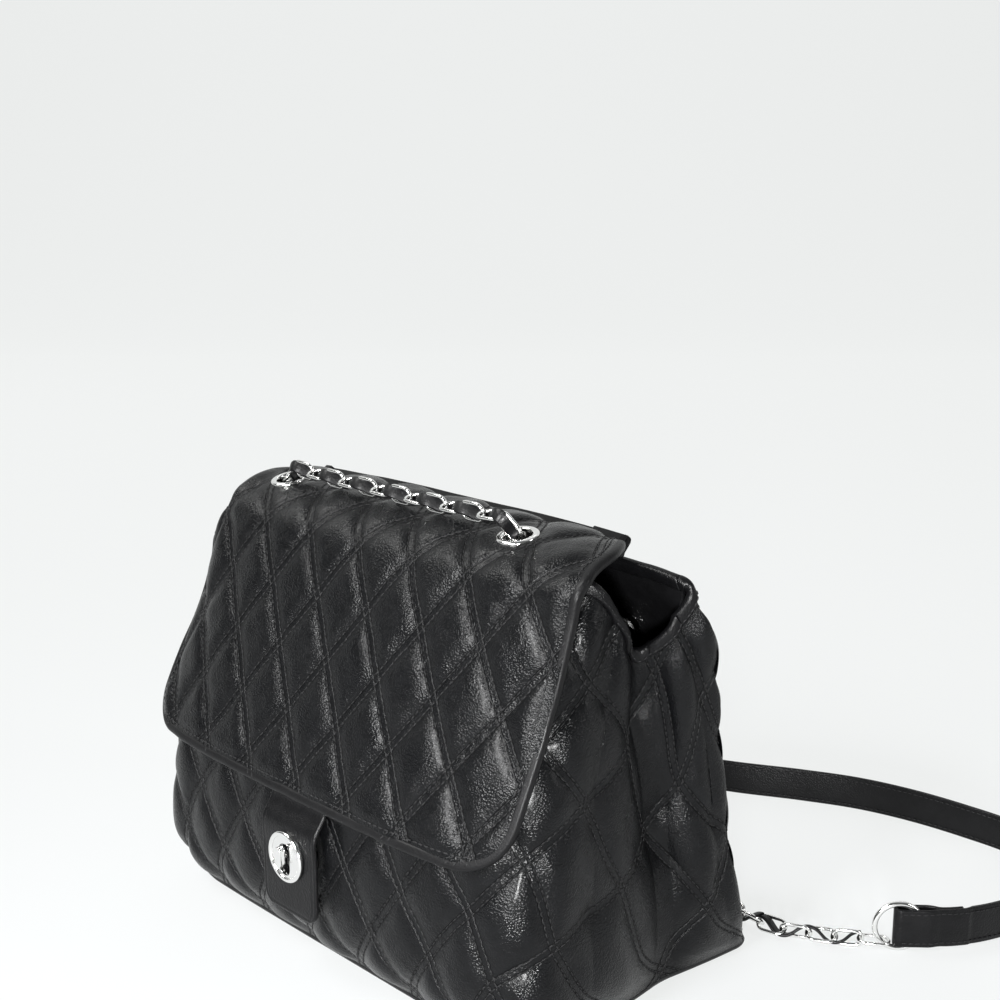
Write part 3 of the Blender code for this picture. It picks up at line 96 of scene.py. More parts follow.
# Heights of the profile knots, as shares of the front wall's height, and what each one holds
LEVEL_SHARES = (0.0, 0.10, 0.24, 0.40, 0.56, 0.72, 0.87, 1.0)
FRONT_SHARES = (0.807, 0.96, 1.0, 0.97, 0.885, 0.765, 0.62, 0.47)
FRONT_CROWN_SHARES = (0.3, 0.7, 1.0, 1.0, 1.1, 1.4, 1.9, 2.5)
FRONT_WIDTH_SHARES = (0.90, 0.965, 0.975, 0.965, 0.95, 0.925, 0.895, 0.865)
FRONT_ROUND_SHARES = (0.8, 1.0, 1.0, 1.0, 0.95, 0.8, 0.5, 0.2)
BACK_SHARES = (1.0, 0.83, 0.71, 0.635, 0.56, 0.45, 0.32, 0.165)
BACK_CROWN_SHARES = (0.0, 0.5, 0.9, 1.0, 1.0, 0.8, 0.4, -0.5)
BACK_WIDTH_SHARES = (0.915, 0.96, 0.972, 0.966, 0.97, 1.0, 1.02, 1.0)
FOLD_WIDTH_SHARES = (0.873, 0.865, 0.852, 0.838, 0.826, 0.834, 0.84, 0.84)
FOLD_DEPTH_SHARES = (0.244, 0.235, 0.22, 0.18, 0.11, 0.03, -0.02, -0.03)
PUFF_SHARES = (0.0, 0.6, 1.0, 1.0, 1.0, 0.8, 0.4, 0.0)
ROW_SHARES = np.linspace(0.0, 1.0, 190)
ROUNDING_SHARE = 0.45

# Segments along each stretch of half a ring, from the back's middle to the front's middle
BACK_STEPS = 118
REAR_STEPS = 24
REAR_SPAN_STEPS = 56
FOLD_STEPS = 14
FRONT_SPAN_STEPS = 78
FRONT_STEPS = 64
FACE_STEPS = 92

# Flap: the outer face's middle line from the back seam to the lower edge
FLAP_REACH = 0.1000
FLAP_TOP = 0.218
FLAP_REACH_SHARES = (-0.0863, -0.0305, 0.0609, 0.198, 0.4112, 0.4467, 0.5178, 0.5888, 0.665,
                     0.7462, 0.8294, 0.9096, 0.9553, 0.9868, 1.0)
FLAP_HEIGHT_SHARES = (0.9656, 0.9885, 1.0, 0.9991, 0.9794, 0.9725, 0.9472, 0.8899, 0.8028,
                      0.7064, 0.6055, 0.5087, 0.455, 0.4174, 0.4014)
FLAP_WRAP_SHARES = (0.25, 0.15, 0.05, 0.0, 0.0, 0.0, 0.1, 0.5, 0.8, 1.0, 1.0, 1.0, 1.0, 1.0, 1.0)
FLAP_DROP_SHARES = (1.0, 0.7, 0.3, 0.0, 0.0, 0.0, 0.0, 0.0, 0.0, 0.0, 0.0, 0.0, 0.0, 0.0, 0.0)
FLAP_DROP = 0.005
FLAP_HALF_WIDTH = 0.133
FLAP_WRAP = 0.012
FLAP_CORNER = 0.020
FLAP_PAD = 0.004
FLAP_FOLD_ROW = 5

# Slump of the unfilled left front corner, with its reach along the width, height and depth
SLUMP_DROP = 0.024
SLUMP_DRAW = 0.008
SLUMP_WIDTH_SHARES = (0.78, 1.015)
SLUMP_HEIGHT_SHARES = (0.413, 0.986)
SLUMP_DEPTH_SHARES = (-0.12, 0.30)

# Tab under the flap, which carries the lock's frame
TAB_HALF_WIDTH = 0.0203
TAB_STAND_OFF = 0.0076
TAB_REACH = FRONT_REACH + TAB_STAND_OFF
TAB_TOP = 0.099
TAB = 0.0024
TAB_CORNER = 0.008
TAB_STEP = 0.0006
TAB_REACH_SHARES = (0.9103, 0.9290, 0.940, 1.0, 1.0, 1.0, 1.0, 1.0)
TAB_RISE_SHARES = (1.0, 0.784, 0.396, 0.0)
TAB_FALL_SHARES = (0.0, 0.685, 0.911, 1.0)

# Turn lock
LOCK_HEIGHT = 0.0605
TAB_OVER_LOCK = 0.013
TAB_UNDER_LOCK = 0.0305
LOCK_FRAME_RADIUS = 0.0125
LOCK_FRAME = 0.0017
LOCK_RIM = 0.0018
LOCK_RIM_RISE = 0.0006
SLOT_HALF_WIDTH = 0.0041
SLOT_HALF_HEIGHT = 0.0079
SLOT_DROP = 0.0023
LOCK_BACK_RADIUS = 0.0108
LOCK_BACK = 0.0006
LOCK_BASE_RADIUS = 0.0105
LOCK_BASE = 0.0009
POST_RADIUS = 0.0018
KNOB_HALF_WIDTH = 0.0031
KNOB_HALF_HEIGHT = 0.0050
KNOB = 0.0030
KNOB_LIFT = 0.0005
KNOB_SOCKET = 0.0016
KNOB_EDGE = 0.0005
KNOB_WAIST = 0.72
COLLAR_RADIUS = 0.0031

# Eyelets
EYELET_SPREAD = 0.083
EYELET_DEPTH = 0.030
EYELET_BORE = 0.0066
EYELET_WALL = 0.0007
EYELET_FLANGE = 0.0098
EYELET_RISE = 0.0011
EYELET_ROLL = 0.0086
EYELET_WASHER = 0.0006

# Chain links and the lace through them
LINK_WIRE = 0.0018
LINK_WIDTH = 0.0100
LINK_PITCH = 0.01237
SETTLE_SHARES = (1.0, 1.0, 0.6, 0.6, 0.25, 0.2, 0.0)
LINK_TWIST = math.radians(45)
FLAT_TURN = math.radians(45)
UPRIGHT_TURN = math.radians(35)
RUN_LINKS = 12
RUN_HEIGHT = 0.0065
RUN_END_LIFT = 0.0013
FLOOR_RISE = 0.0051
FLOOR_LINKS = 5
COVERED_RADIUS = 0.0042
STAND_OFF = 0.0022

# Strap rings and the shoulder strap, which stands on its edge on the floor
RING_RADIUS = 0.0116
RING_WIRE = 0.0028
HOOK_ANGLE = math.radians(225)
HOOK_REACH = 0.0038
STRAP_WIDTH = 0.0195
STRAP = 0.0028
STRAP_FOLD = 0.0038
STRAP_LOOP_BACK = 0.0015
STRAP_FOLD_LENGTH = 0.034
STRAP_SETTLE = 0.055
STRAP_PLY = 0.0016
STRAP_CORNER = 0.0007
STRAP_STITCH = 0.0032
STRAP_STITCH_INSET = 0.0022
STRAP_STITCH_RISE = 0.00004

# Route of the shoulder strap on the floor, from the right ring to the left ring
RIGHT_RING = (0.1895, 0.1255)
RIGHT_RING_HEADING = math.radians(43.8)
LEFT_RING = (-0.137, 0.1625)
LEFT_RING_HEADING = math.radians(21.0)
STRAP_ROUTE = ((0.2105, 0.1520), (0.2185, 0.1745), (0.2240, 0.1980), (0.2245, 0.2210),
               (0.2165, 0.2420), (0.2000, 0.2560), (0.1760, 0.2625), (0.1480, 0.2630),
               (0.1180, 0.2605), (0.0860, 0.2530), (0.0540, 0.2385), (0.0200, 0.2200),
               (-0.0200, 0.2030), (-0.0600, 0.1895))

# Routes of the chain on the floor, from the ring back to the foot of the bag
RIGHT_FLOOR_ROUTE = ((0.1600, 0.1035), (0.1400, 0.0940), (0.1200, 0.0935), (0.1020, 0.0950))
LEFT_FLOOR_ROUTE = ((-0.1600, 0.1540), (-0.1800, 0.1430), (-0.1970, 0.1270), (-0.2000, 0.1080),
                    (-0.1880, 0.0965), (-0.1650, 0.0930), (-0.1350, 0.0940), (-0.1020, 0.0950))
CHAIN_FOOT = (0.0880, 0.0925, 0.0075)
UP = np.array([0.0, 0.0, 1.0])


def unit(vectors):
    """Scale each vector in an array to length one."""
    vectors = np.asarray(vectors, float)
    return vectors / np.linalg.norm(vectors, axis=-1, keepdims=True)


def lengths_along(points):
    """Distance along a line of points from its first one: the lengths of its steps added up."""
    steps = np.linalg.norm(np.diff(points, axis=0), axis=1)
    return np.concatenate([[0.0], np.cumsum(steps)])


def read_columns(at, along, table):
    """A table's columns at given distances, in straight steps between its rows."""
    return np.stack([np.interp(at, along, column) for column in table.T], axis=-1)


def smooth_profile(at, knots, values):
    """Cubic Hermite curve through (knots, values), read at the heights in at."""
    knots = np.asarray(knots, float)
    values = np.asarray(values, float)
    slopes = np.gradient(values, knots)
    index = np.clip(np.searchsorted(knots, at, side="right") - 1, 0, len(knots) - 2)
    width = knots[index + 1] - knots[index]
    t = np.clip((at - knots[index]) / width, 0.0, 1.0)
    start = values[index] * (1 + 2 * t) * (1 - t) ** 2 + slopes[index] * width * t * (1 - t) ** 2
    end = values[index + 1] * t * t * (3 - 2 * t) - slopes[index + 1] * width * t * t * (1 - t)
    return start + end


def smooth_route(points, step):
    """Points about a step apart on a smooth curve through the route's own points."""
    points = np.asarray(points, float)
    along = lengths_along(points)
    count = max(2, int(round(along[-1] / step)) + 1)
    at = np.linspace(0.0, along[-1], count)
    return np.stack([smooth_profile(at, along, column) for column in points.T], axis=1)


def span_points(start, end, count):
    """Evenly spaced points from start to end without the last one; start is (rows, 3)."""
    t = np.linspace(0.0, 1.0, count, endpoint=False)[None, :, None]
    return start[:, None, :] * (1 - t) + end[:, None, :] * t


def corner_points(before, corner, after, count):
    """Quadratic curve from before to after, drawn to the corner, without its last point."""
    t = np.linspace(0.0, 1.0, count, endpoint=False)[None, :, None]
    first = before[:, None, :] * (1 - t) ** 2
    second = corner[:, None, :] * 2 * t * (1 - t)
    return first + second + after[:, None, :] * t ** 2


def corner_reach(corner, other, distance):
    """How far a corner's rounding goes on the way to the other point, at most 45%."""
    length = np.linalg.norm((other - corner)[:, :2], axis=1)
    return np.minimum(distance, ROUNDING_SHARE * length)


def step_toward(corner, other, distance):
    """The point at a distance from the corner, measured in plan, on the way to the other."""
    way = other - corner
    length = np.linalg.norm(way[:, :2], axis=1, keepdims=True)
    return corner + way * (distance[:, None] / length)


def frame_points():
    """Outer corner lines of half the body: back middle, shoulder, fold, corner, front middle.

    Each rises evenly from the floor to its own top, and its places in plan are smooth curves
    through shares of the body's sizes at the levels' heights.
    """
    rows = ROW_SHARES
    floor = BASE_PANEL + GAP
    knots = np.asarray(LEVEL_SHARES) * FRONT_TOP

    def read(z, shares, size):
        return smooth_profile(z, knots, np.asarray(shares) * size)

    back_z, shoulder_z, fold_z, corner_z, front_z = [
        floor + rows * (top - floor)
        for top in (BACK_TOP, SHOULDER_TOP, FOLD_TOP, FRONT_CORNER_TOP, FRONT_TOP)]
    crown = read(corner_z, FRONT_CROWN_SHARES, FRONT_CROWN)
    front_crown = read(front_z, FRONT_CROWN_SHARES, FRONT_CROWN)
    frame = [np.stack([rows * 0.0, read(back_z, BACK_SHARES, BACK_REACH), back_z], axis=1),
             np.stack([read(shoulder_z, BACK_WIDTH_SHARES, HALF_WIDTH),
                       read(shoulder_z, BACK_SHARES, BACK_REACH), shoulder_z], axis=1),
             np.stack([read(fold_z, FOLD_WIDTH_SHARES, HALF_WIDTH),
                       read(fold_z, FOLD_DEPTH_SHARES, BACK_REACH), fold_z], axis=1),
             np.stack([read(corner_z, FRONT_WIDTH_SHARES, HALF_WIDTH),
                       crown - read(corner_z, FRONT_SHARES, FRONT_REACH), corner_z], axis=1),
             np.stack([rows * 0.0, front_crown - read(front_z, FRONT_SHARES, FRONT_REACH),
                       front_z], axis=1)]
    rises = {"back": read(back_z, BACK_CROWN_SHARES, BACK_CROWN), "front": front_crown,
             "puff": read(fold_z, PUFF_SHARES, GUSSET_PUFF)}
    rounds = [np.full(len(rows), REAR_ROUND), np.full(len(rows), FOLD_ROUND),
              FRONT_ROUND * np.interp(corner_z, knots, FRONT_ROUND_SHARES)]
    return frame, rises, rounds


def inset_frame(frame, inset):
    """The corner lines moved inward in plan, and the tangent of half of each one's turn."""
    flip = np.array([-1.0, 1.0, 1.0])
    lines = [frame[1] * flip] + frame + [frame[-2] * flip]
    moved = []
    turns = []
    for before, here, after in zip(lines, lines[1:], lines[2:]):
        first = unit((here - before)[:, :2])
        second = unit((after - here)[:, :2])
        inward_first = np.stack([first[:, 1], -first[:, 0]], axis=1)
        inward_second = np.stack([second[:, 1], -second[:, 0]], axis=1)
        same = 1 + np.sum(first * second, axis=1)
        turn = first[:, 1] * second[:, 0] - first[:, 0] * second[:, 1]
        shift = (inward_first + inward_second) / same[:, None] * inset[:, None]
        moved.append(here + np.concatenate([shift, shift[:, :1] * 0], axis=1))
        turns.append(turn / same)
    return moved, turns


def body_rings(inset=None):
    """Rings of the wall at an inset, by row: right half from the back's middle, then the left.

    A ring runs from corner line to corner line, with quadratic curves round the corners. The
    back bows out by a square and the front by a fourth power of the distance from its middle,
    and the gusset's two stretches puff out by a parabola.
    """
    frame, rises, rounds = frame_points()
    inset = np.zeros(len(ROW_SHARES)) if inset is None else inset
    (back, shoulder, fold, corner, front), turns = inset_frame(frame, inset)

    def rounding(number, size, toward_outer, here, there):
        outer = corner_reach(frame[number], toward_outer, size)
        inner = np.maximum(outer - inset * turns[number], FOLD_ROUND / 4)
        return step_toward(here, there, np.minimum(inner, corner_reach(here, there, inner)))

    rear_in = rounding(1, rounds[0], frame[0], shoulder, back)
    rear_out = rounding(1, rounds[0], frame[2], shoulder, fold)
    fold_in = rounding(2, rounds[1], frame[1], fold, shoulder)
    fold_out = rounding(2, rounds[1], frame[3], fold, corner)
    corner_in = rounding(3, rounds[2], frame[2], corner, fold)
    corner_out = rounding(3, rounds[2], frame[4], corner, front)

    def crowned(points, edge, middle, rise, power):
        share = points[..., 0] / edge[..., 0]
        points = points.copy()
        points[..., 1] += rise * (1 - share ** power)
        points[..., 2] = middle[..., 2] + (edge[..., 2] - middle[..., 2]) * share ** 4
        return points

    back_span = crowned(span_points(back, rear_in, BACK_STEPS), frame[1][:, None],
                        back[:, None], rises["back"][:, None], 2)
    rear_start = crowned(rear_in, frame[1], back, rises["back"], 2)
    stretches = []
    for start, end, steps in ((rear_out, fold_in, REAR_SPAN_STEPS),
                              (fold_out, corner_in, FRONT_SPAN_STEPS)):
        stretch = span_points(start, end, steps)
        t = np.linspace(0.0, 1.0, steps, endpoint=False)
        stretch[:, :, 0] += rises["puff"][:, None] * 4 * t * (1 - t)
        stretches.append(stretch)
    front_start = crowned(corner_out, frame[3], front, -rises["front"], 4)
    face_span = crowned(span_points(corner_out, front, FACE_STEPS), frame[3][:, None],
                        front[:, None], -rises["front"][:, None], 4)
    middle = crowned(front, frame[3], front, -rises["front"], 4)[:, None, :]
    right = np.concatenate([
        back_span, corner_points(rear_start, shoulder, rear_out, REAR_STEPS), stretches[0],
        corner_points(fold_in, fold, fold_out, FOLD_STEPS), stretches[1],
        corner_points(corner_in, corner, front_start, FRONT_STEPS), face_span, middle], axis=1)
    left = right[:, -2:0:-1].copy()
    left[:, :, 0] *= -1
    return np.concatenate([right, left], axis=1)


def inner_rings(rings, inset):
    """Rings at an inset, with the heights of the outer rings."""
    inner = body_rings(inset)
    inner[:, :, 2] = rings[:, :, 2]
    return inner


def inward_normals(rings):
    """Level unit normals that point into the body, one for each point of each ring."""
    along = np.roll(rings, -1, axis=1) - np.roll(rings, 1, axis=1)
    level = np.stack([along[:, :, 1], -along[:, :, 0], along[:, :, 2] * 0], axis=2)
    return unit(level)


# Column numbers of the seams in a ring
REAR_START = BACK_STEPS
REAR_SEAM = BACK_STEPS + REAR_STEPS // 2
REAR_END = BACK_STEPS + REAR_STEPS
FRONT_START = REAR_END + REAR_SPAN_STEPS + FOLD_STEPS + FRONT_SPAN_STEPS
FRONT_SEAM = FRONT_START + FRONT_STEPS // 2
HALF_COLUMNS = FRONT_START + FRONT_STEPS + FACE_STEPS


def ring_columns(first, last):
    """Column numbers from first to last round the ring, which may pass its end."""
    return [number % (2 * HALF_COLUMNS) for number in range(first, last + 1)]


def sheet_grid(middle, half_widths, wraps, drops, column_shares):
    """Outer face of a hanging sheet: rows down its middle line, columns across.

    Its sides wrap back and drop with the fourth power of the distance from the middle.
    """
    share = np.asarray(column_shares)
    x = half_widths[:, None] * share[None, :]
    y = middle[:, 0][:, None] + wraps[:, None] * (x / half_widths.max()) ** 4
    z = middle[:, 1][:, None] - drops[:, None] * (x / half_widths.max()) ** 4
    return np.stack([x, y, z], axis=2)


def flap_middle():
    """Middle line of the flap's outer face as (y, z) rows."""
    return np.stack([-np.asarray(FLAP_REACH_SHARES) * FLAP_REACH,
                     np.asarray(FLAP_HEIGHT_SHARES) * FLAP_TOP], axis=1)


def tab_middle():
    """Middle line of the tab's outer face as (y, z) rows, upright beside the lock."""
    straight = LOCK_HEIGHT + TAB_OVER_LOCK
    rise = straight + np.asarray(TAB_RISE_SHARES) * (TAB_TOP - straight)
    fall = LOCK_HEIGHT - np.asarray(TAB_FALL_SHARES) * TAB_UNDER_LOCK
    reach = -np.asarray(TAB_REACH_SHARES) * TAB_REACH
    return np.stack([reach, np.concatenate([rise, fall])], axis=1)


def stadium(half_width, half_height, count):
    """Outline of an upright slot in the plane of its face: two half circles, top and bottom."""
    angle = math.pi * (np.arange(2)[:, None] + np.arange(count + 1) / count)
    centre = (half_height - half_width) * np.array([[1.0], [-1.0]])
    outline = np.stack([half_width * np.cos(angle), centre + half_width * np.sin(angle)], axis=-1)
    return outline.reshape(-1, 2)


def mirrored(vector):
    """The same vector on the other side of the bag's middle plane."""
    return np.asarray(vector, float) * np.array([-1.0, 1.0, 1.0])


def both_sides(place):
    """A place and its mirror image in the bag's middle plane."""
    return np.array([place, mirrored(place)])


def settled_twists(count):
    """Twists of a run of links: flat and upright at its start, easing to alternate slants."""
    order = np.arange(count)
    settling = np.take(SETTLE_SHARES, np.minimum(order, len(SETTLE_SHARES) - 1))
    return np.where(order % 2, LINK_TWIST + UPRIGHT_TURN * settling,
                    FLAT_TURN * settling - LINK_TWIST)


def run_joints(place, outward):
    """Joints of the chain across the flap, from inside one eyelet to inside the other.

    They lie evenly along X, and rise over the flap with the fourth power of that distance.
    """
    half = RUN_LINKS * LINK_PITCH / 2
    x = np.linspace(-half, half, RUN_LINKS + 1)
    lift = RUN_HEIGHT + RUN_END_LIFT * (x / half) ** 4
    joints = np.array([0.0, 1.0, 1.0]) * place + lift[:, None] * outward / outward[2]
    joints[:, 0] = x
    return np.concatenate([[mirrored(place)], joints, [place]])


def joints_along(route, start, count=None):
    """Joints a pitch apart from a start along a route, and the route's rest.

    There are as many as count asks for, or as many as the route holds.
    """
    fine = smooth_route(np.concatenate([[start], route]), LINK_PITCH / 40)
    joints = [np.asarray(start, float)]
    index = 0
    while count is None or len(joints) <= count:
        away = np.linalg.norm(fine[index:] - joints[-1], axis=1)
        ahead = np.nonzero(away >= LINK_PITCH)[0]
        if len(ahead) == 0:
            break
        index += int(ahead[0])
        joints.append(fine[index])
    return np.array(joints), fine[index:]


def heading_vector(angle):
    """Level unit vector at an angle from +X."""
    return np.array([math.cos(angle), math.sin(angle), 0.0])


def ring_centre(place):
    """A strap ring stands on the floor on its edge."""
    return np.array([place[0], place[1], RING_RADIUS + RING_WIRE / 2])


def ease(values, start, end):
    """Smooth step from nothing at the start to one at the end."""
    share = np.clip((values - start) / (end - start), 0.0, 1.0)
    return share * share * (3.0 - share * 2.0)


def slumped(points):
    """Points after the left front corner has sunk and drawn in, as one smooth bend."""
    width = np.asarray(SLUMP_WIDTH_SHARES) * FLAP_HALF_WIDTH
    height = np.asarray(SLUMP_HEIGHT_SHARES) * FLAP_TOP
    depth = np.asarray(SLUMP_DEPTH_SHARES) * FLAP_REACH
    share = (ease(-points[..., 0], *width) * ease(points[..., 2], *height)
             * ease(-points[..., 1], *depth))
    moved = points.copy()
    moved[..., 0] += share * SLUMP_DRAW
    moved[..., 2] -= share * SLUMP_DROP
    return moved


# Fine versions of the solids' surfaces
FLAP_STEP = 0.00092
CORNER_ROWS = 34
FLAP_COLUMNS = 300
FLAP_SHORTER = 0.0035

# Width of the sewn flap at the knots of its middle line, on either side
LEFT_WIDTH_SHARES = (0.84, 0.87, 0.92, 0.965, 0.985, 0.985, 0.98, 0.98, 0.98, 0.98, 0.98, 0.975,
                     0.97, 0.965, 0.96)
RIGHT_WIDTH_SHARES = (0.82, 0.86, 0.92, 0.985, 1.025, 1.035, 1.035, 1.025, 1.015, 1.005, 0.995,
                      0.985, 0.975, 0.965, 0.96)


def arc_lengths(points, axis):
    """Distance along a grid of points, added up from its first row or column."""
    steps = np.linalg.norm(np.diff(points, axis=axis), axis=2)
    start = np.zeros_like(np.take(steps, [0], axis=axis))
    return np.concatenate([start, np.cumsum(steps, axis=axis)], axis=axis)


def outward_normals(points, outward):
    """Unit normals of a grid by differences along both ways, turned to the side of outward."""
    down = np.gradient(points, axis=0)
    across = np.gradient(points, axis=1)
    normal = unit(np.cross(down, across))
    side = np.sign(np.sum(normal * outward, axis=2, keepdims=True))
    return normal * np.where(side == 0, 1.0, side)


def rounded_rows(middle, shorter, step, corner, count):
    """Rows down a sheet's middle line: even steps, and then a quarter circle's over its corners.

    Gives the line's knots and end, and each row's distance, place and drawing in of the sides.
    """
    knots = lengths_along(middle)
    end = knots[-1] - shorter
    upper = np.arange(0.0, end - corner, step)
    angle = np.linspace(0.0, math.pi / 2, count)
    at = np.append(upper, end - corner + corner * np.sin(angle))
    draw = np.append(upper * 0.0, corner * (1 - np.cos(angle)))
    line = np.stack([smooth_profile(at, knots, column) for column in middle.T], axis=1)
    return knots, end, at, line, draw


def fine_flap():
    """Fine grid of the flap's outer face: points, distance across, distance down from the seam.

    The middle line is a cubic through the solid's own knots, and the lower corners are arcs.
    """
    knots, _, at, line, draw = rounded_rows(flap_middle(), FLAP_SHORTER, FLAP_STEP, FLAP_CORNER,
                                            CORNER_ROWS)
    left = FLAP_HALF_WIDTH * smooth_profile(at, knots, LEFT_WIDTH_SHARES) - draw
    right = FLAP_HALF_WIDTH * smooth_profile(at, knots, RIGHT_WIDTH_SHARES) - draw
    wraps = FLAP_WRAP * smooth_profile(at, knots, FLAP_WRAP_SHARES)
    drops = FLAP_DROP * smooth_profile(at, knots, FLAP_DROP_SHARES)
    grid = sheet_grid(line, left, wraps, drops, np.linspace(-1.0, 1.0, FLAP_COLUMNS))
    wider = (right / left)[:, None] - 1.0
    grid[..., 0] *= 1.0 + wider * (grid[..., 0] > 0.0)
    down = np.broadcast_to(at[:, None], grid.shape[:2])
    return slumped(grid), grid[:, :, 0], down


def fine_walls():
    """Fine rings of the walls after the slump, their outward normals, and distances up and round.

    The normals come from differences over the rings, which are lengthened past their seam.
    """
    straight = body_rings()
    rings = slumped(straight)
    wide = np.concatenate([rings[:, -2:], rings, rings[:, :2]], axis=1)
    level = -inward_normals(rings)
    wide_level = np.concatenate([level[:, -2:], level, level[:, :2]], axis=1)
    normals = outward_normals(wide, wide_level)[:, 2:-2]
    return rings, normals, arc_lengths(straight, 0), arc_lengths(straight, 1)


# Quilting: seams, puffs, stitches and the diamonds' sizes
CHANNEL = 0.0034
PUFF_SINK = 0.0015
FLAP_PUFF = 0.0021
BODY_PUFF = 0.0026
STITCH = 0.0033
THREAD = 0.00036
FLAP_CELL = (0.03673, 0.05491)
FLAP_START = (-0.0712, 0.07084)
BACK_CELL = (0.044, 0.058)

# Crossings of the seams on the walls: distance round from the front's middle and distance up,
# in millimetres, and the numbers of the two seams that cross there, added and subtracted
BODY_CROSSINGS = ((87.1, 39.8, 0, 0), (110.0, 68.0, 1, 1), (132.4, 92.6, 2, 2),
                  (158.4, 108.7, 3, 3), (183.4, 124.1, 4, 4), (122.5, 38.1, 2, 0),
                  (150.5, 51.8, 3, 1), (192.8, 63.3, 4, 2), (69.0, 65.1, -1, 1),
                  (49.7, 37.7, -2, 0), (30.7, 64.0, -3, 1), (9.9, 35.6, -4, 0),
                  (257.4, 35.5, 6, 2), (271.7, 72.9, 7, 3), (229.2, 98.7, 6, 4),
                  (229.7, 149.0, 7, 5), (273.9, 3.9, 7, 1), (219.6, 5.1, 5, 1),
                  (141.5, 164.7, 3, 5), (9.9, 91.5, -4, 2), (49.7, 92.5, -2, 2),
                  (87.1, 93.5, 0, 2), (9.9, 147.0, -4, 4), (49.7, 147.5, -2, 4),
                  (87.1, 148.0, 0, 4), (49.7, 200.0, -2, 6), (9.9, 200.0, -4, 6),
                  (95.0, 200.0, 0.3, 6), (150.0, 205.0, 4, 6.4), (278.0, 160.0, 8.6, 5.8),
                  (278.0, 205.0, 9, 7.4))
CROSSING_MIDDLE = -4.5

# Puckers beside the seams: height, reach, and how many to a diamond along and across its seam
PUCKER = 0.00026
PUCKER_REACH = 0.005
PUCKERS_ALONG = 9.3
PUCKERS_ACROSS = 2.1

# Where padding fades to a pressed rim: distances from the rim, foot, lock, eyelets and seam
RIM_FADE = (0.004, 0.016)
FOOT_FADE = (-0.002, 0.010)
LOCK_FADE = (0.011, 0.02)
BACK_EYELET_FADE = (0.010, 0.020)
FLAP_EDGE_FADE = (0.001, 0.009)
FLAP_EYELET_FADE = (0.0105, 0.019)
FLAP_REAR_FADE = (0.0, 0.010)
PRESSED_WALL = 0.0008
PRESSED_LOCK = 0.0006
PRESSED_FLAP = 0.0006

# Heights of the long and the short crumpling
WALL_CRUMPLE = (0.0007, 0.00045)
FLAP_CRUMPLE = (0.0007, 0.0004)

# Fixed table of random values that every unevenness reads

TABLE = np.random.default_rng(11).uniform(-1.0, 1.0, (256, 256))


def noise(x, y, seed):
    """Smooth random values from -1 to 1, one to each unit square, blended by a quintic."""
    column = np.floor(x).astype(int)
    row = np.floor(y).astype(int)
    s = x - column
    t = y - row
    s = s ** 3 * (s * (s * 6 - 15) + 10)
    t = t ** 3 * (t * (t * 6 - 15) + 10)

    def corner(i, j):
        return TABLE[(column + i + 37 * seed) % 256, (row + j + 91 * seed) % 256]

    low = corner(0, 0) * (1 - s) + corner(1, 0) * s
    high = corner(0, 1) * (1 - s) + corner(1, 1) * s
    return low * (1 - t) + high * t


def surface_period(field, points):
    """Distance on the surface over which a field grows by one, at each point of a grid."""
    down = np.linalg.norm(np.gradient(points, axis=0), axis=2)
    across = np.linalg.norm(np.gradient(points, axis=1), axis=2)
    slope = np.hypot(np.gradient(field, axis=0) / np.maximum(down, 1e-6),
                     np.gradient(field, axis=1) / np.maximum(across, 1e-6))
    return 1.0 / np.maximum(slope, 1e-6)


def seam_distance(field, points):
    """Distance to the nearest whole number of a field, and half the distance between two."""
    period = np.clip(surface_period(field, points), 0.012, 0.06)
    return np.abs(field - np.round(field)) * period, period / 2


def quilt(points, a, b, puff, seed, power=3.0):
    """Height of the padding over the cloth, and the distances to the two families of seams.

    Each family gives 1 - (1 - share of the way to the middle) to the given power, the two are
    multiplied, and puckers beside each seam fade away from it.
    """
    near_a, half_a = seam_distance(a, points)
    near_b, half_b = seam_distance(b, points)
    rise = 1.0
    for near, half in ((near_a, half_a), (near_b, half_b)):
        way = np.clip((near - CHANNEL / 2) / (half - CHANNEL / 2), 0.0, 1.0)
        rise = rise * (1 - (1 - way) ** power)
    height = puff * rise - PUFF_SINK
    for near, along, across, own in ((near_a, b, a, seed), (near_b, a, b, seed + 3)):
        pucker = noise(along * PUCKERS_ALONG, across * PUCKERS_ACROSS, own)
        height += PUCKER * pucker * np.exp(-near / PUCKER_REACH)
    return height, near_a, near_b


def crumple(points, seed, large, small):
    """Soft unevenness: noise about 55 mm long and noise about 21 mm long, added up."""
    x, y, z = points[..., 0], points[..., 1], points[..., 2]
    slow = noise((x + y) * 18, (z - y) * 18, seed) * large
    quick = noise((x - y * 1.3) * 47, (z + y * 0.7) * 47, seed + 5) * small
    return slow + quick


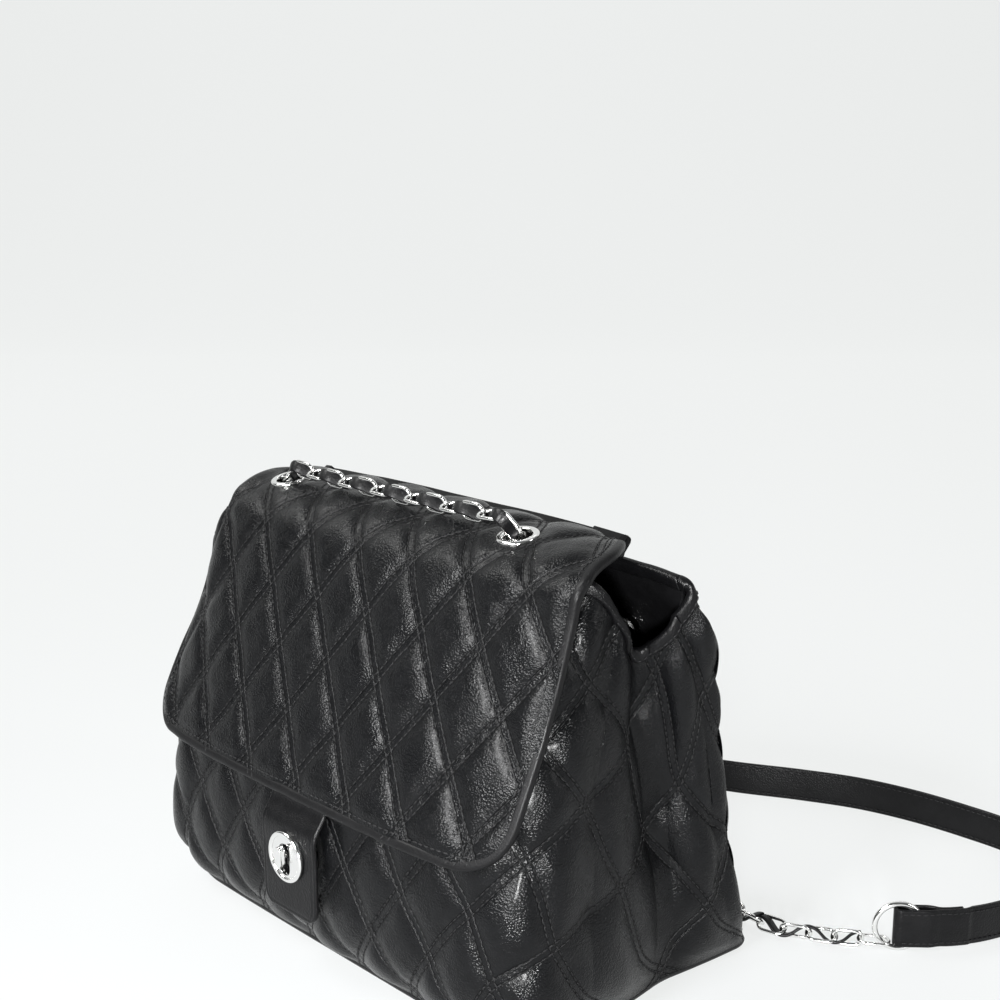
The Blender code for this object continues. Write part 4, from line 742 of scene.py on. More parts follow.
def grid_mesh(name, points, outward=None, uv=None, closed=False, keep=None, marks=None):
    """Smooth mesh of quads over a grid, with optional UVs in metres and float marks.

    Each quad joins two rows and two columns, in a closed grid also the last column and the
    first. The quads turn to the side of outward, and keep says which of them stay.
    """
    rows, columns = points.shape[:2]
    index = np.arange(rows * columns).reshape(rows, columns)
    left = index if closed else index[:, :-1]
    right = np.roll(index, -1, axis=1) if closed else index[:, 1:]
    quads = np.stack([left[:-1], right[:-1], right[1:], left[1:]], axis=-1)
    corners = None
    if uv is not None:
        corners = np.stack([uv[:-1, :-1], uv[:-1, 1:], uv[1:, 1:], uv[1:, :-1]], axis=2)
    flat = points.reshape(-1, 3)
    if outward is not None:
        sample = quads.reshape(-1, 4)[:: max(1, quads.size // 4000)]
        p = flat[sample]
        normal = np.cross(p[:, 2] - p[:, 0], p[:, 3] - p[:, 1])
        if np.sum(normal * outward.reshape(-1, 3)[sample[:, 0]]) < 0:
            quads = quads[..., ::-1]
            corners = None if corners is None else corners[:, :, ::-1]
    if keep is not None:
        quads = quads[keep]
        corners = None if corners is None else corners[keep]
    used, quads = np.unique(quads.reshape(-1, 4), return_inverse=True)
    mesh = bpy.data.meshes.new(name)
    mesh.from_pydata(flat[used].tolist(), [], quads.reshape(-1, 4).tolist())
    if corners is not None:
        layer = mesh.uv_layers.new(name="cloth")
        layer.data.foreach_set("uv", corners.reshape(-1).astype(np.float32))
    for key, values in (marks or {}).items():
        mark = mesh.attributes.new(key, "FLOAT", "POINT")
        mark.data.foreach_set("value", values.reshape(-1)[used].astype(np.float32))
    mesh.shade_smooth()
    return mesh


def remade(mesh, faces=(), smooth=False, merge=None):
    """The mesh with faces added, points nearer than merge joined, and its normals turned out."""
    work = bmesh.new()
    work.from_mesh(mesh)
    work.verts.ensure_lookup_table()
    for corners in faces:
        work.faces.new([work.verts[i] for i in corners]).smooth = smooth
    if merge is not None:
        bmesh.ops.remove_doubles(work, verts=work.verts, dist=merge)
    bmesh.ops.recalc_face_normals(work, faces=work.faces)
    work.to_mesh(mesh)
    work.free()
    return mesh


def linked(name, data):
    """A new object in the scene, with the given mesh, light or camera."""
    thing = bpy.data.objects.new(name, data)
    bpy.context.scene.collection.objects.link(thing)
    return thing


def put(name, mesh, look, ride, nodes=()):
    """Link a mesh as a piece that rides on a body, or else stays fixed where it is, and stands for
    nodes.
    """
    thing = linked(name, mesh)
    mesh.materials.clear()
    mesh.materials.append(LOOKS[look])
    if isinstance(ride, str):
        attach(thing, ride)
    else:
        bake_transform(thing)
    if nodes:
        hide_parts(*nodes)
    return thing


def tube_mesh(name, grid, path, section):
    """Tube over a grid of closed sections along a path, with capped ends and UVs in metres."""
    round_it = lengths_along(np.concatenate([section, section[:1]]))
    uv = np.stack(np.broadcast_arrays(lengths_along(path)[:, None], round_it), axis=2)
    mesh = grid_mesh(name, grid, grid - path[:, None], uv, closed=True)
    count = len(section)
    last = (len(path) - 1) * count
    return remade(mesh, [range(count), range(last, last + count)])


def closed_sweep(name, path, first, second, section):
    """Tube whose section is carried along a path, on two axes given at each of its places."""
    grid = path[:, None] + first[:, None] * section[:, :1] + second[:, None] * section[:, 1:]
    return tube_mesh(name, grid, path, section)


def round_section(half_width, half_height, radius, steps):
    """Rounded rectangle: a quarter circle of the radius round each corner's own centre.

    Arrays of half widths and radii, with two axes to spare, give an outline to each row.
    """
    side = np.array([[1], [-1], [-1], [1]])
    level = np.array([[1], [1], [-1], [-1]])
    angle = math.pi * (0.5 * np.arange(4)[:, None] + 0.5 * np.arange(steps + 1) / steps)
    x = side * (half_width - radius) + radius * np.cos(angle)
    y = level * (half_height - radius) + radius * np.sin(angle)
    return np.stack([x, y], axis=-1).reshape(*x.shape[:-2], -1, 2)


def tube_quads(low, high):
    """Faces between two arrays of point numbers whose rows are closed rings."""
    corners = [low, np.roll(low, -1, axis=1), np.roll(high, -1, axis=1), high]
    return np.stack(corners, axis=-1).reshape(-1, 4)


def stitch_mesh(name, stitches, length, radius):
    """Threads: at each stitch's centre a lozenge of five six-sided rings, swollen in the middle.

    A stitch is a row of its centre, its direction and the way its cloth faces.
    """
    centres, along, facing = np.split(stitches, 3, axis=1)
    angle = math.pi * 2 * np.arange(6) / 6
    share = np.array([[-0.5], [-0.36], [0.0], [0.36], [0.5]])
    size = radius * np.array([[0.25], [0.85], [1.0], [0.85], [0.25]])
    shape = np.stack(np.broadcast_arrays(share * length, size * np.cos(angle),
                                         size * np.sin(angle)), axis=-1)
    index = np.arange(shape[..., 0].size).reshape(shape.shape[:2])
    quads = tube_quads(index[:-1], index[1:])
    shape = shape.reshape(-1, 3)
    side = unit(np.cross(facing, along))
    axes = np.stack([along, side, np.cross(along, side)], axis=1)
    points = centres[:, None] + shape @ axes
    quads = quads + np.arange(len(centres))[:, None, None] * len(shape)
    mesh = bpy.data.meshes.new(name)
    mesh.from_pydata(points.reshape(-1, 3).tolist(), [], quads.reshape(-1, 4).tolist())
    mesh.shade_smooth()
    return mesh


def spaced(points, facing, pitch):
    """Stitches about a pitch apart along a line: rows of place, direction and facing."""
    along = lengths_along(points)
    count = int(along[-1] / pitch)
    at = (np.arange(count) + 0.5) * along[-1] / max(count, 1)
    ahead = read_columns(at + pitch / 4, along, points)
    behind = read_columns(at - pitch / 4, along, points)
    return np.concatenate([read_columns(at, along, points), unit(ahead - behind),
                           unit(read_columns(at, along, facing))], axis=1)


def field_lines(field, points, normals, level):
    """Runs of points, with their normals, where a field that grows along each row has a level."""
    falls = field[:, 0] > field[:, -1]
    rising = np.where(falls[:, None], field[:, ::-1], field)
    rows = np.nonzero((rising[:, 0] < level) & (level < rising[:, -1]))[0]
    last = field.shape[1] - 1
    at = np.array([np.interp(level, rising[row], np.arange(last + 1.0)) for row in rows])
    at = np.where(falls[rows], last - at, at)
    low = at.astype(int)
    share = (at - low)[:, None]
    table = np.concatenate([points, normals], axis=2)
    found = table[rows, low] * (1 - share) + table[rows, np.minimum(low + 1, last)] * share
    runs = np.split(found, np.nonzero(np.diff(rows) > 1)[0] + 1)
    return [run for run in runs if len(run) > 3]


def seam_stitches(points, normals, a, b):
    """Stitches in double rows along both families of seams of a quilted grid.

    Each row lies half a channel to the side of its seam.
    """
    stitches = []
    for field in (a, b):
        period = surface_period(field, points)
        levels = range(int(np.floor(field.min())), int(np.ceil(field.max())) + 1)
        for side in (-0.5, 0.5):
            shifted = field - side * CHANNEL / period
            runs = [run for level in levels
                    for run in field_lines(shifted, points, normals, level)]
            stitches += [spaced(run[:, :3], run[:, 3:], STITCH) for run in runs]
    return np.concatenate(stitches)


def sew(name, stitches, length, radius, ride):
    """Put stitches of one length as a piece of thread."""
    put(name, stitch_mesh(name, stitches, length, radius), "thread", ride)


def sew_lines(name, lines, pitch, radius):
    """Put stitches a pitch apart along given lines of (points, facings)."""
    stitches = np.concatenate([spaced(points, facing, pitch) for points, facing in lines])
    sew(name, stitches, pitch * 0.7, radius, "bag_body")


def baked(thing):
    """The object's mesh with its modifiers and place applied; the object is removed."""
    bpy.context.view_layer.update()
    graph = bpy.context.evaluated_depsgraph_get()
    mesh = bpy.data.meshes.new_from_object(thing.evaluated_get(graph))
    mesh.transform(thing.matrix_world)
    bpy.data.objects.remove(thing, do_unlink=True)
    return mesh


def lathe_grid(profile, steps):
    """Closed (radius, height) profile turned round Z: grid with rows along the turn."""
    angle = np.linspace(0.0, 2 * math.pi, steps + 1)
    r, z = profile[:, 0], profile[:, 1]
    return np.stack([np.cos(angle)[:, None] * r, np.sin(angle)[:, None] * r,
                     np.broadcast_to(z, (steps + 1, len(z)))], axis=2)


def front_object(name, mesh, place):
    """Object at a place, whose mesh was made lying on its back and is turned to the front."""
    thing = linked(name, mesh)
    thing.location = place
    thing.rotation_euler = (math.pi / 2, 0.0, 0.0)
    bpy.context.view_layer.update()
    return thing


# Distance within which points merge, and sizes of eyelets, base, lining, roll and lace
MERGE = 1e-6
BACK_EYELET_PLACE = (0.0938349, 0.0335748, 0.1667234)
BACK_EYELET_FACING = (0.0575594, 0.8748487, 0.4809644)
BASE_START = 0.0007
LINING_FLOOR = 0.0075
ROLL_RADIUS = 0.0024
LACE_LIFT = 0.0031
LACE_HALF_WIDTH = 0.0030
LACE_HALF = 0.00075

# Leather's finish: height of its cells, and width of a crease in millimetres, where the colour is
# also darkened as painted shade
CELL_RELIEF = 0.26
CREASE_WIDTH = 0.7

# Strips of cloth: sections by half width, half height and corner, stitches, and thickness
STRIP_SECTION = (0.0024, 0.0036, 0.0021)
EDGE_SECTION = (0.0025, 0.0023, 0.0019)
STRIP_STITCH = 0.0028
EDGE_STITCH = 0.0034
BAND = 0.0012

# Camera, solved from the photograph's perspective, then the surround and the floor
CAMERA_PLACE = (0.532, -0.476, 0.376)
VIEW_AZIMUTH = math.radians(45.9)
VIEW_ELEVATION = math.radians(12.8)
LENS = 54.0
SENSOR = 36.0
WORLD_COLOUR = (0.97, 1.0, 0.98)
WORLD_STRENGTH = 0.12
FLOOR_COLOUR = (0.10, 0.103, 0.110)
FLOOR_GLOW_COLOUR = (0.985, 1.0, 0.985)
FLOOR_GLOW = 0.75

# Soft lights: name, place, target, width, height, power in watts, colour, spread in degrees
WHITE = (1.0, 1.0, 1.0)
LIGHTS = (("key", (-1.5, -1.2, 2.5), (0.0, 0.0, 0.1), 1.2, 1.2, 72.0, (1.0, 1.0, 0.98), 180.0),
          ("front", (0.16, -0.85, 0.56), (0.08, -0.05, 0.12), 0.26, 0.34, 3.6, WHITE, 80.0),
          ("low", (0.95, -1.0, 0.30), (0.13, -0.09, 0.06), 0.18, 0.18, 4.0, WHITE, 60.0),
          ("side", (1.5, 0.6, 0.9), (0.1, 0.0, 0.12), 0.3, 0.9, 2.2, WHITE, 100.0),
          ("top", (0.0, 0.9, 2.4), (0.0, 0.0, 0.1), 2.4, 1.6, 5.0, (0.97, 0.98, 1.0), 180.0),
          ("back", (-1.1, 1.3, 2.4), (-2.6, 2.6, 0.6), 2.6, 0.6, 18.0, WHITE, 180.0))


def plugged(tree, node, inputs):
    """The node with its inputs filled: a socket is linked, a number or a colour is set."""
    for key, value in inputs.items():
        if isinstance(value, bpy.types.NodeSocket):
            tree.links.new(value, node.inputs[key])
        else:
            node.inputs[key].default_value = value
    return node


def new_node(tree, kind, inputs, **attributes):
    """A new shader node with the given inputs and attributes."""
    node = tree.nodes.new("ShaderNode" + kind)
    for key, value in attributes.items():
        setattr(node, key, value)
    return plugged(tree, node, inputs)


def new_look(name, **constants):
    """A new material: its tree, its shader with the given constants, and its coordinates."""
    look = bpy.data.materials.new(name)
    look.use_nodes = True
    shader = look.node_tree.nodes["Principled BSDF"]
    for key, value in constants.items():
        shader.inputs[key.replace("_", " ")].default_value = value
    place = new_node(look.node_tree, "TexCoord", {})
    return look, look.node_tree, shader, place


def mapped(tree, value, start, end, low, high, blend="LINEAR"):
    """A value between start and end spread from low to high."""
    inputs = {"Value": value, "From Min": start, "From Max": end, "To Min": low, "To Max": high}
    return new_node(tree, "MapRange", inputs, interpolation_type=blend).outputs["Result"]


def worked_out(tree, operation, *values):
    """A sum of the shader's own arithmetic."""
    return new_node(tree, "Math", dict(enumerate(values)), operation=operation).outputs["Value"]


def tinted(tree, shader, colour, tint):
    """Give the shader a colour scaled by a tint."""
    shade = new_node(tree, "VectorMath", {0: colour, "Scale": tint}, operation="SCALE")
    plugged(tree, shader, {"Base Color": shade.outputs["Vector"]})


def bumped(tree, shader, height, strength, distance):
    """Give the shader a bump by a height."""
    bump = new_node(tree, "Bump", {"Strength": strength, "Distance": distance, "Height": height})
    plugged(tree, shader, {"Normal": bump.outputs["Normal"]})


def leather_look(name, colour, roughness, grain, seams=False):
    """Black leather: fine cells and pores in the bump, uneven gloss, and creases at the seams.

    A crease is a narrow, dull groove half a channel from each seam's middle, read from
    the marks seam_a and seam_b, which hold the distance to the nearest seam in millimetres.
    In the crease the colour is darkened to a quarter as painted shade.
    """
    look, tree, shader, place = new_look(name, IOR=1.47, Specular_IOR_Level=0.15,
                                         Coat_Weight=0.05, Coat_Roughness=0.16)
    place = place.outputs["UV"]
    cells = new_node(tree, "TexVoronoi", {"Vector": place, "Scale": 1150.0, "Randomness": 0.95})
    pores, folds, gloss = [
        new_node(tree, "TexNoise", {"Vector": place, "Scale": scale, "Detail": detail,
                                    "Distortion": distortion}).outputs["Fac"]
        for scale, detail, distortion in ((2600.0, 3.0, 0.0), (170.0, 5.0, 0.6), (55.0, 4.0, 0.0))]
    dull = mapped(tree, gloss, 0.3, 0.7, roughness - 0.06, roughness + 0.08)
    tint = mapped(tree, folds, 0.25, 0.75, 0.75, 1.35)
    height = worked_out(tree, "MULTIPLY", cells.outputs["Distance"], CELL_RELIEF)
    height = worked_out(tree, "MULTIPLY_ADD", pores, 0.03, height)
    height = worked_out(tree, "MULTIPLY_ADD", folds, 0.16, height)
    if seams:
        crease_and_shade = 0.0
        for mark in ("seam_a", "seam_b"):
            read = new_node(tree, "Attribute", {}, attribute_name=mark).outputs["Fac"]
            away = worked_out(tree, "SUBTRACT", read, CHANNEL * 500)
            away = worked_out(tree, "ABSOLUTE", away)
            groove = mapped(tree, away, 0.0, CREASE_WIDTH, 1.0, 0.0, "SMOOTHSTEP")
            crease_and_shade = worked_out(tree, "MAXIMUM", groove, crease_and_shade)
        height = worked_out(tree, "MULTIPLY_ADD", crease_and_shade, -0.5, height)
        dull = worked_out(tree, "MULTIPLY_ADD", crease_and_shade, 0.5, dull)
        # painted shade: the colour is darkened to a quarter in the creases beside the seams
        tint = worked_out(tree, "MULTIPLY", tint, mapped(tree, crease_and_shade, 0.0, 1.0, 1.0, 0.25))
    plugged(tree, shader, {"Roughness": dull})
    tinted(tree, shader, colour, tint)
    bumped(tree, shader, height, grain, 0.001)
    return look


def metal_look(name, colour, roughness):
    """Plated metal: even colour, with faint wear in the gloss and a very low bump."""
    look, tree, shader, place = new_look(name, Base_Color=(*colour, 1.0), Metallic=1.0)
    wear = new_node(tree, "TexNoise", {"Vector": place.outputs["Object"], "Scale": 420.0,
                                       "Detail": 5.0}).outputs["Fac"]
    spread = mapped(tree, wear, 0.0, 1.0, roughness * 0.6, roughness * 1.6)
    plugged(tree, shader, {"Roughness": spread})
    bumped(tree, shader, wear, 0.12, 0.0002)
    return look


def cloth_look(name, colour):
    """Woven board cover: two crossed sets of fine waves as threads, multiplied."""
    look, tree, shader, place = new_look(name, Base_Color=(*colour, 1.0), Roughness=0.75,
                                         Sheen_Weight=0.25)
    warp, weft = [
        new_node(tree, "TexWave", {"Vector": place.outputs["UV"], "Scale": 620.0,
                                   "Distortion": 0.4}, bands_direction=way).outputs["Fac"]
        for way in ("X", "Y")]
    bumped(tree, shader, worked_out(tree, "MULTIPLY", warp, weft), 0.5, 0.0002)
    return look


def thread_look(name, colour):
    """Sewing thread: a twist of fine diagonal waves."""
    look, tree, shader, place = new_look(name, Base_Color=(*colour, 1.0), Roughness=0.55,
                                         Specular_IOR_Level=0.25)
    wave = new_node(tree, "TexWave", {"Vector": place.outputs["Object"], "Scale": 1500.0},
                    bands_direction="DIAGONAL")
    bumped(tree, shader, wave.outputs["Fac"], 0.4, 0.0001)
    return look


def spline_warp(samples, values, smooth):
    """Thin-plate spline through samples in decimetres; returns a function of two arrays."""
    count = len(samples)
    gap = np.linalg.norm(samples[:, None] - samples[None], axis=2)
    kernel = np.where(gap > 0, gap ** 2 * np.log(np.maximum(gap, 1e-9)), 0.0)
    plane = np.concatenate([np.ones((count, 1)), samples], axis=1)
    system = np.zeros((count + 3, count + 3))
    system[:count, :count] = kernel + np.eye(count) * smooth
    system[:count, count:] = plane
    system[count:, :count] = plane.T
    weights = np.linalg.solve(system, np.concatenate([values, np.zeros(3)]))

    def read(x, y):
        total = weights[count] + weights[count + 1] * x + weights[count + 2] * y
        for (px, py), weight in zip(samples, weights):
            square = (x - px) ** 2 + (y - py) ** 2
            total = total + weight * 0.5 * square * np.log(np.maximum(square, 1e-12))
        return total

    return read


def body_seams(around, up):
    """The two families of seam numbers on the front and gussets, mirrored about the middle."""
    table = np.array(BODY_CROSSINGS)
    spots = table[:, :2] / 100
    mirror = spots * np.array([-1.0, 1.0])
    samples = np.concatenate([spots, mirror])
    sums = np.concatenate([table[:, 2], 2 * CROSSING_MIDDLE - table[:, 2]])
    differences = np.concatenate([table[:, 3], table[:, 3]])
    across = spline_warp(samples, sums, 0.004)(around * 10, up * 10)
    rising = spline_warp(samples, differences, 0.004)(around * 10, up * 10)
    return (across + rising) / 2, (across - rising) / 2


def under_hardware(name, places):
    """Which places on a wall lie under its eyelets' flanges or the lock's base."""
    if name == "back_panel":
        return near_places(places, both_sides(BACK_EYELET[0])) < EYELET_FLANGE + 0.001
    if name == "front_panel":
        return np.hypot(places[:, 0], places[:, 2] - LOCK_HEIGHT) < LOCK_BASE_RADIUS
    return np.zeros(len(places), bool)


def make_wall_pieces():
    """Quilted front, back and gussets, with stitches: the fine rings moved out along their
    normals by the padding's height, which is pressed flat at the rims and under hardware.
    """
    rings, normals, up, spread_round = fine_walls()
    around = spread_round[:, [HALF_COLUMNS]] - spread_round
    full = 2 * HALF_COLUMNS
    spans = {"back_panel": (full - REAR_SEAM, full + REAR_SEAM),
             "right_gusset": (REAR_SEAM, FRONT_SEAM),
             "front_panel": (FRONT_SEAM, full - FRONT_SEAM),
             "left_gusset": (full - FRONT_SEAM, full - REAR_SEAM)}
    a, b = body_seams(around, up)
    height, near_a, near_b = quilt(rings, a, b, BODY_PUFF, 1)
    for name, (first, last) in spans.items():
        columns = ring_columns(first, last)
        points, facing, rise = rings[:, columns], normals[:, columns], up[:, columns]
        if name == "back_panel":
            spread = arc_lengths(points, 1)
            spread = spread - spread[:, [len(columns) // 2]]
            seam_a = spread / BACK_CELL[0] - rise / BACK_CELL[1]
            seam_b = spread / BACK_CELL[0] + rise / BACK_CELL[1]
            lift, marks_a, marks_b = quilt(points, seam_a, seam_b, BODY_PUFF, 2)
        else:
            spread, seam_a, seam_b = around[:, columns], a[:, columns], b[:, columns]
            lift, marks_a, marks_b = height[:, columns], near_a[:, columns], near_b[:, columns]
        pressed = ease(rise[-1:] - rise, *RIM_FADE) * ease(rise, *FOOT_FADE)
        lift = lift * pressed - PRESSED_WALL * (1 - pressed)
        lift = lift + crumple(points, 4, *WALL_CRUMPLE) * pressed
        holes = None
        if name == "front_panel":
            free = ease(np.hypot(points[..., 0], points[..., 2] - LOCK_HEIGHT), *LOCK_FADE)
            lift = lift * free - PRESSED_LOCK * (1 - free)
        if name == "back_panel":
            apart = near_places(points, both_sides(BACK_EYELET[0]))
            lift = lift * ease(apart, *BACK_EYELET_FADE)
            holes = apart[:-1, :-1] > EYELET_BORE + 0.0015
        spot = points + facing * lift[..., None]
        mesh = grid_mesh(f"{name}_leather", spot, facing, np.stack([spread, rise], axis=2),
                         keep=holes, marks={"seam_a": marks_a * 1000, "seam_b": marks_b * 1000})
        put(f"{name}_leather", mesh, "quilted", "bag_body", [name])
        stitches = seam_stitches(spot, outward_normals(spot, facing), seam_a, seam_b)
        stitches = stitches[~under_hardware(name, stitches[:, :3])]
        sew(f"{name}_stitching", stitches, STITCH * 0.72, THREAD, "bag_body")
    return rings, normals


def make_top_strips(rings, normals):
    """Folded strips over the top edges of the walls: a rounded section along the highest ring,
    a little wavy, each with a row of stitches.
    """
    full = 2 * HALF_COLUMNS
    spans = {"back_top_binding": (full - REAR_START, full + REAR_START),
             "right_gusset_binding": (REAR_START, FRONT_SEAM),
             "front_top_binding": (FRONT_SEAM, full - FRONT_SEAM),
             "left_gusset_binding": (full - FRONT_SEAM, full - REAR_START)}
    rim = unit(np.gradient(rings, axis=0)[-1])
    for name, (first, last) in spans.items():
        columns = ring_columns(first, last)
        out = normals[-1, columns]
        rise = rim[columns]
        path = rings[-1, columns] - out * 0.0010 - rise * 0.0022
        wavy = noise(np.arange(len(path)) / 9.0, path[:, 0] * 0, 3)[:, None] * 0.00018
        path = path + out * wavy
        mesh = closed_sweep(name + "_strip", path, out, rise, round_section(*STRIP_SECTION, 5))
        put(name + "_strip", mesh, "leather", "bag_body", [name])
        line = path + out * 0.00245 - rise * 0.0018
        sew_lines(name + "_stitching", [(line, out)], STRIP_STITCH, THREAD)


def make_base_piece(rings):
    """Base with a rolled edge: rings that turn in by a quarter circle from the walls' lowest
    one, and then shrink to the middle of the flat underside.
    """
    height = rings[0, 0, 2]
    rows = []
    for turn in np.linspace(0.0, math.pi / 2, 11):
        inset = BASE_START + height * (1 - math.cos(turn))
        ring = body_rings(np.full(len(ROW_SHARES), inset))[0]
        ring[:, 2] = (height + GAP) * (1 - math.sin(turn))
        rows.append(ring)
    rows += [rows[-1] * np.array([share, share, 1.0]) for share in (0.95, 0.7, 0.4, 0.02)]
    grid = np.array(rows)
    down = np.zeros_like(grid)
    down[..., 2] = -1.0
    down[:8] -= inward_normals(grid[:8])
    mesh = grid_mesh("bottom_leather", grid, down, ring_uv(grid), closed=True)
    put("bottom_leather", mesh, "leather_flat", "bag_body", ["bottom_panel"])


def ring_uv(grid):
    """Texture places in metres for a closed grid of rings: round the middle ring, and up."""
    around = lengths_along(grid[len(grid) // 2])
    spread = np.append(around, around[-1] + (around[-1] - around[-2]))
    rise = arc_lengths(grid, 0)
    rise = np.concatenate([rise, rise[:, :1]], axis=1)
    return np.stack(np.broadcast_arrays(spread[None, :], rise), axis=2)


def make_lining_piece():
    """Slack lining inside the walls: rings inset by an easing amount, drawn to the rim at the
    top, with a floor of its own.
    """
    rings = body_rings()
    from_top = (1 - ROW_SHARES) * FRONT_TOP
    inset = 0.0024 + 0.0027 * ease(from_top, 0.003, 0.016)
    pick = np.append(np.arange(0, len(ROW_SHARES) - 1, 2), len(ROW_SHARES) - 1)
    inner = inner_rings(rings, inset)[pick]
    ring_in = inward_normals(inner)
    slack = noise((inner[..., 0] - inner[..., 1]) * 30, inner[..., 2] * 22, 9)
    fade = ease(from_top[pick], 0.001, 0.012)
    inner = inner + ring_in * ((slack * 0.0004 + 0.0002) * fade[:, None])[..., None]
    inner[..., 2] = np.maximum(inner[..., 2], LINING_FLOOR)
    inner = slumped(inner)
    floor = np.array([inner[0] * np.array([share, share, 1.0]) for share in (0.02, 0.35, 0.7)])
    grid = np.concatenate([floor, inner], axis=0)
    inward = np.concatenate([floor * 0 + UP, ring_in], axis=0)
    holes = near_places(grid[:-1], both_sides(BACK_EYELET[0])) > EYELET_BORE + 0.003
    mesh = grid_mesh("lining_cloth", grid, inward, ring_uv(grid), closed=True, keep=holes)
    piece = put("lining_cloth", mesh, "leather_flat", "bag_body", ["lining"])


def flap_eyelet():
    """Centre and outward direction of the right eyelet on the flap."""
    middle = flap_middle()
    high, low = middle[FLAP_FOLD_ROW - 2], middle[FLAP_FOLD_ROW - 1]
    share = (-EYELET_DEPTH - high[0]) / (low[0] - high[0])
    slope = unit(low - high)
    centre = np.array([EYELET_SPREAD, -EYELET_DEPTH, high[1] + (low[1] - high[1]) * share])
    return centre, np.array([0.0, slope[1], -slope[0]]) * np.sign(-slope[0])


def near_places(points, places):
    """Distance from each point to the nearest of the given places."""
    return np.min([np.linalg.norm(points - place, axis=-1) for place in places], axis=0)


def flap_border(across, down):
    """Distance inwards from the flap's side and lower edges, with round lower corners."""
    side = np.where(across > 0.0, across[:, -1:] - across, across - across[:, :1])
    low = down[-1:] - down
    full = np.maximum(across[:, -1:], -across[:, :1])
    widest = np.max(full[-CORNER_ROWS - 1])
    straight = np.where(low < FLAP_CORNER, widest - np.abs(across), side)
    cornered = (straight < FLAP_CORNER) & (low < FLAP_CORNER)
    curved = FLAP_CORNER - np.hypot(FLAP_CORNER - straight, FLAP_CORNER - low)
    return np.where(cornered, curved, np.minimum(straight, low))


def flap_padding(grid, across, down, padding):
    """How far the flap's leather lies over its grid: the padding's height, pressed flat at the
    border and round the eyelets, and creased by noise that grows near its sides and its rear.
    """
    edge = flap_border(across, down)
    pressed = ease(edge, *FLAP_EDGE_FADE)
    flat = ease(near_places(grid, both_sides(FLAP_EYELET[0])), *FLAP_EYELET_FADE)
    wave = crumple(grid, 2, *FLAP_CRUMPLE)
    ripple = noise(across * 70, down * 16, 12) * 0.0006 * ease(0.030 - edge, 0.0, 0.022)
    pinch = noise(across * 95, down * 30, 15) * 0.0007 * (1 - ease(down, 0.012, 0.030))
    lift = padding * pressed * flat - PRESSED_FLAP * (1 - pressed) * flat
    lift = lift + (wave + ripple + pinch) * flat * (0.4 + 0.6 * pressed)
    return lift * (0.35 + 0.65 * ease(down, *FLAP_REAR_FADE))


def make_flap_pieces():
    """The quilted flap in one sheet with its stitches, its underside and its edge strip."""
    grid, across, down = fine_flap()
    facing = outward_normals(grid, np.broadcast_to(np.array([0.0, -1.0, 1.0]), grid.shape))
    x = (across - FLAP_START[0]) / FLAP_CELL[0]
    s = (down - FLAP_START[1]) / FLAP_CELL[1]
    padding, near_a, near_b = quilt(grid, x - s, x + s, FLAP_PUFF, 7, 4.2)
    spot = grid + facing * flap_padding(grid, across, down, padding)[..., None]
    eyelets = both_sides(FLAP_EYELET[0])
    apart = near_places(grid, eyelets)
    uv = np.stack([across, down], axis=2)
    mesh = grid_mesh("flap_leather", spot, facing, uv,
                     keep=apart[:-1, :-1] > EYELET_BORE + 0.0012,
                     marks={"seam_a": near_a * 1000, "seam_b": near_b * 1000})
    put("flap_leather", mesh, "quilted", FLAP_BEND, ["flap_top", "flap_front"])
    stitches = seam_stitches(spot, outward_normals(spot, facing), x - s, x + s)
    stitches = stitches[near_places(stitches[:, :3], eyelets) >= EYELET_FLANGE + 0.0008]
    sew("flap_stitching", stitches, STITCH * 0.72, THREAD, FLAP_BEND)

    half = (slice(None, None, 2), slice(None, None, 2))
    slack = noise(across[half] * 40, down[half] * 40, 21) * 0.0004
    under = grid[half] + facing[half] * (slack[..., None] - (FLAP_PAD + GAP + LINING * 0.5))
    mesh = grid_mesh("flap_lining_cloth", under, -facing[half], uv[half],
                     keep=apart[half][:-1, :-1] > EYELET_BORE + 0.002)
    piece = put("flap_lining_cloth", mesh, "leather_flat", FLAP_BEND, ["flap_lining"])
    make_flap_edge(grid, facing, spot[half])
    return grid, facing


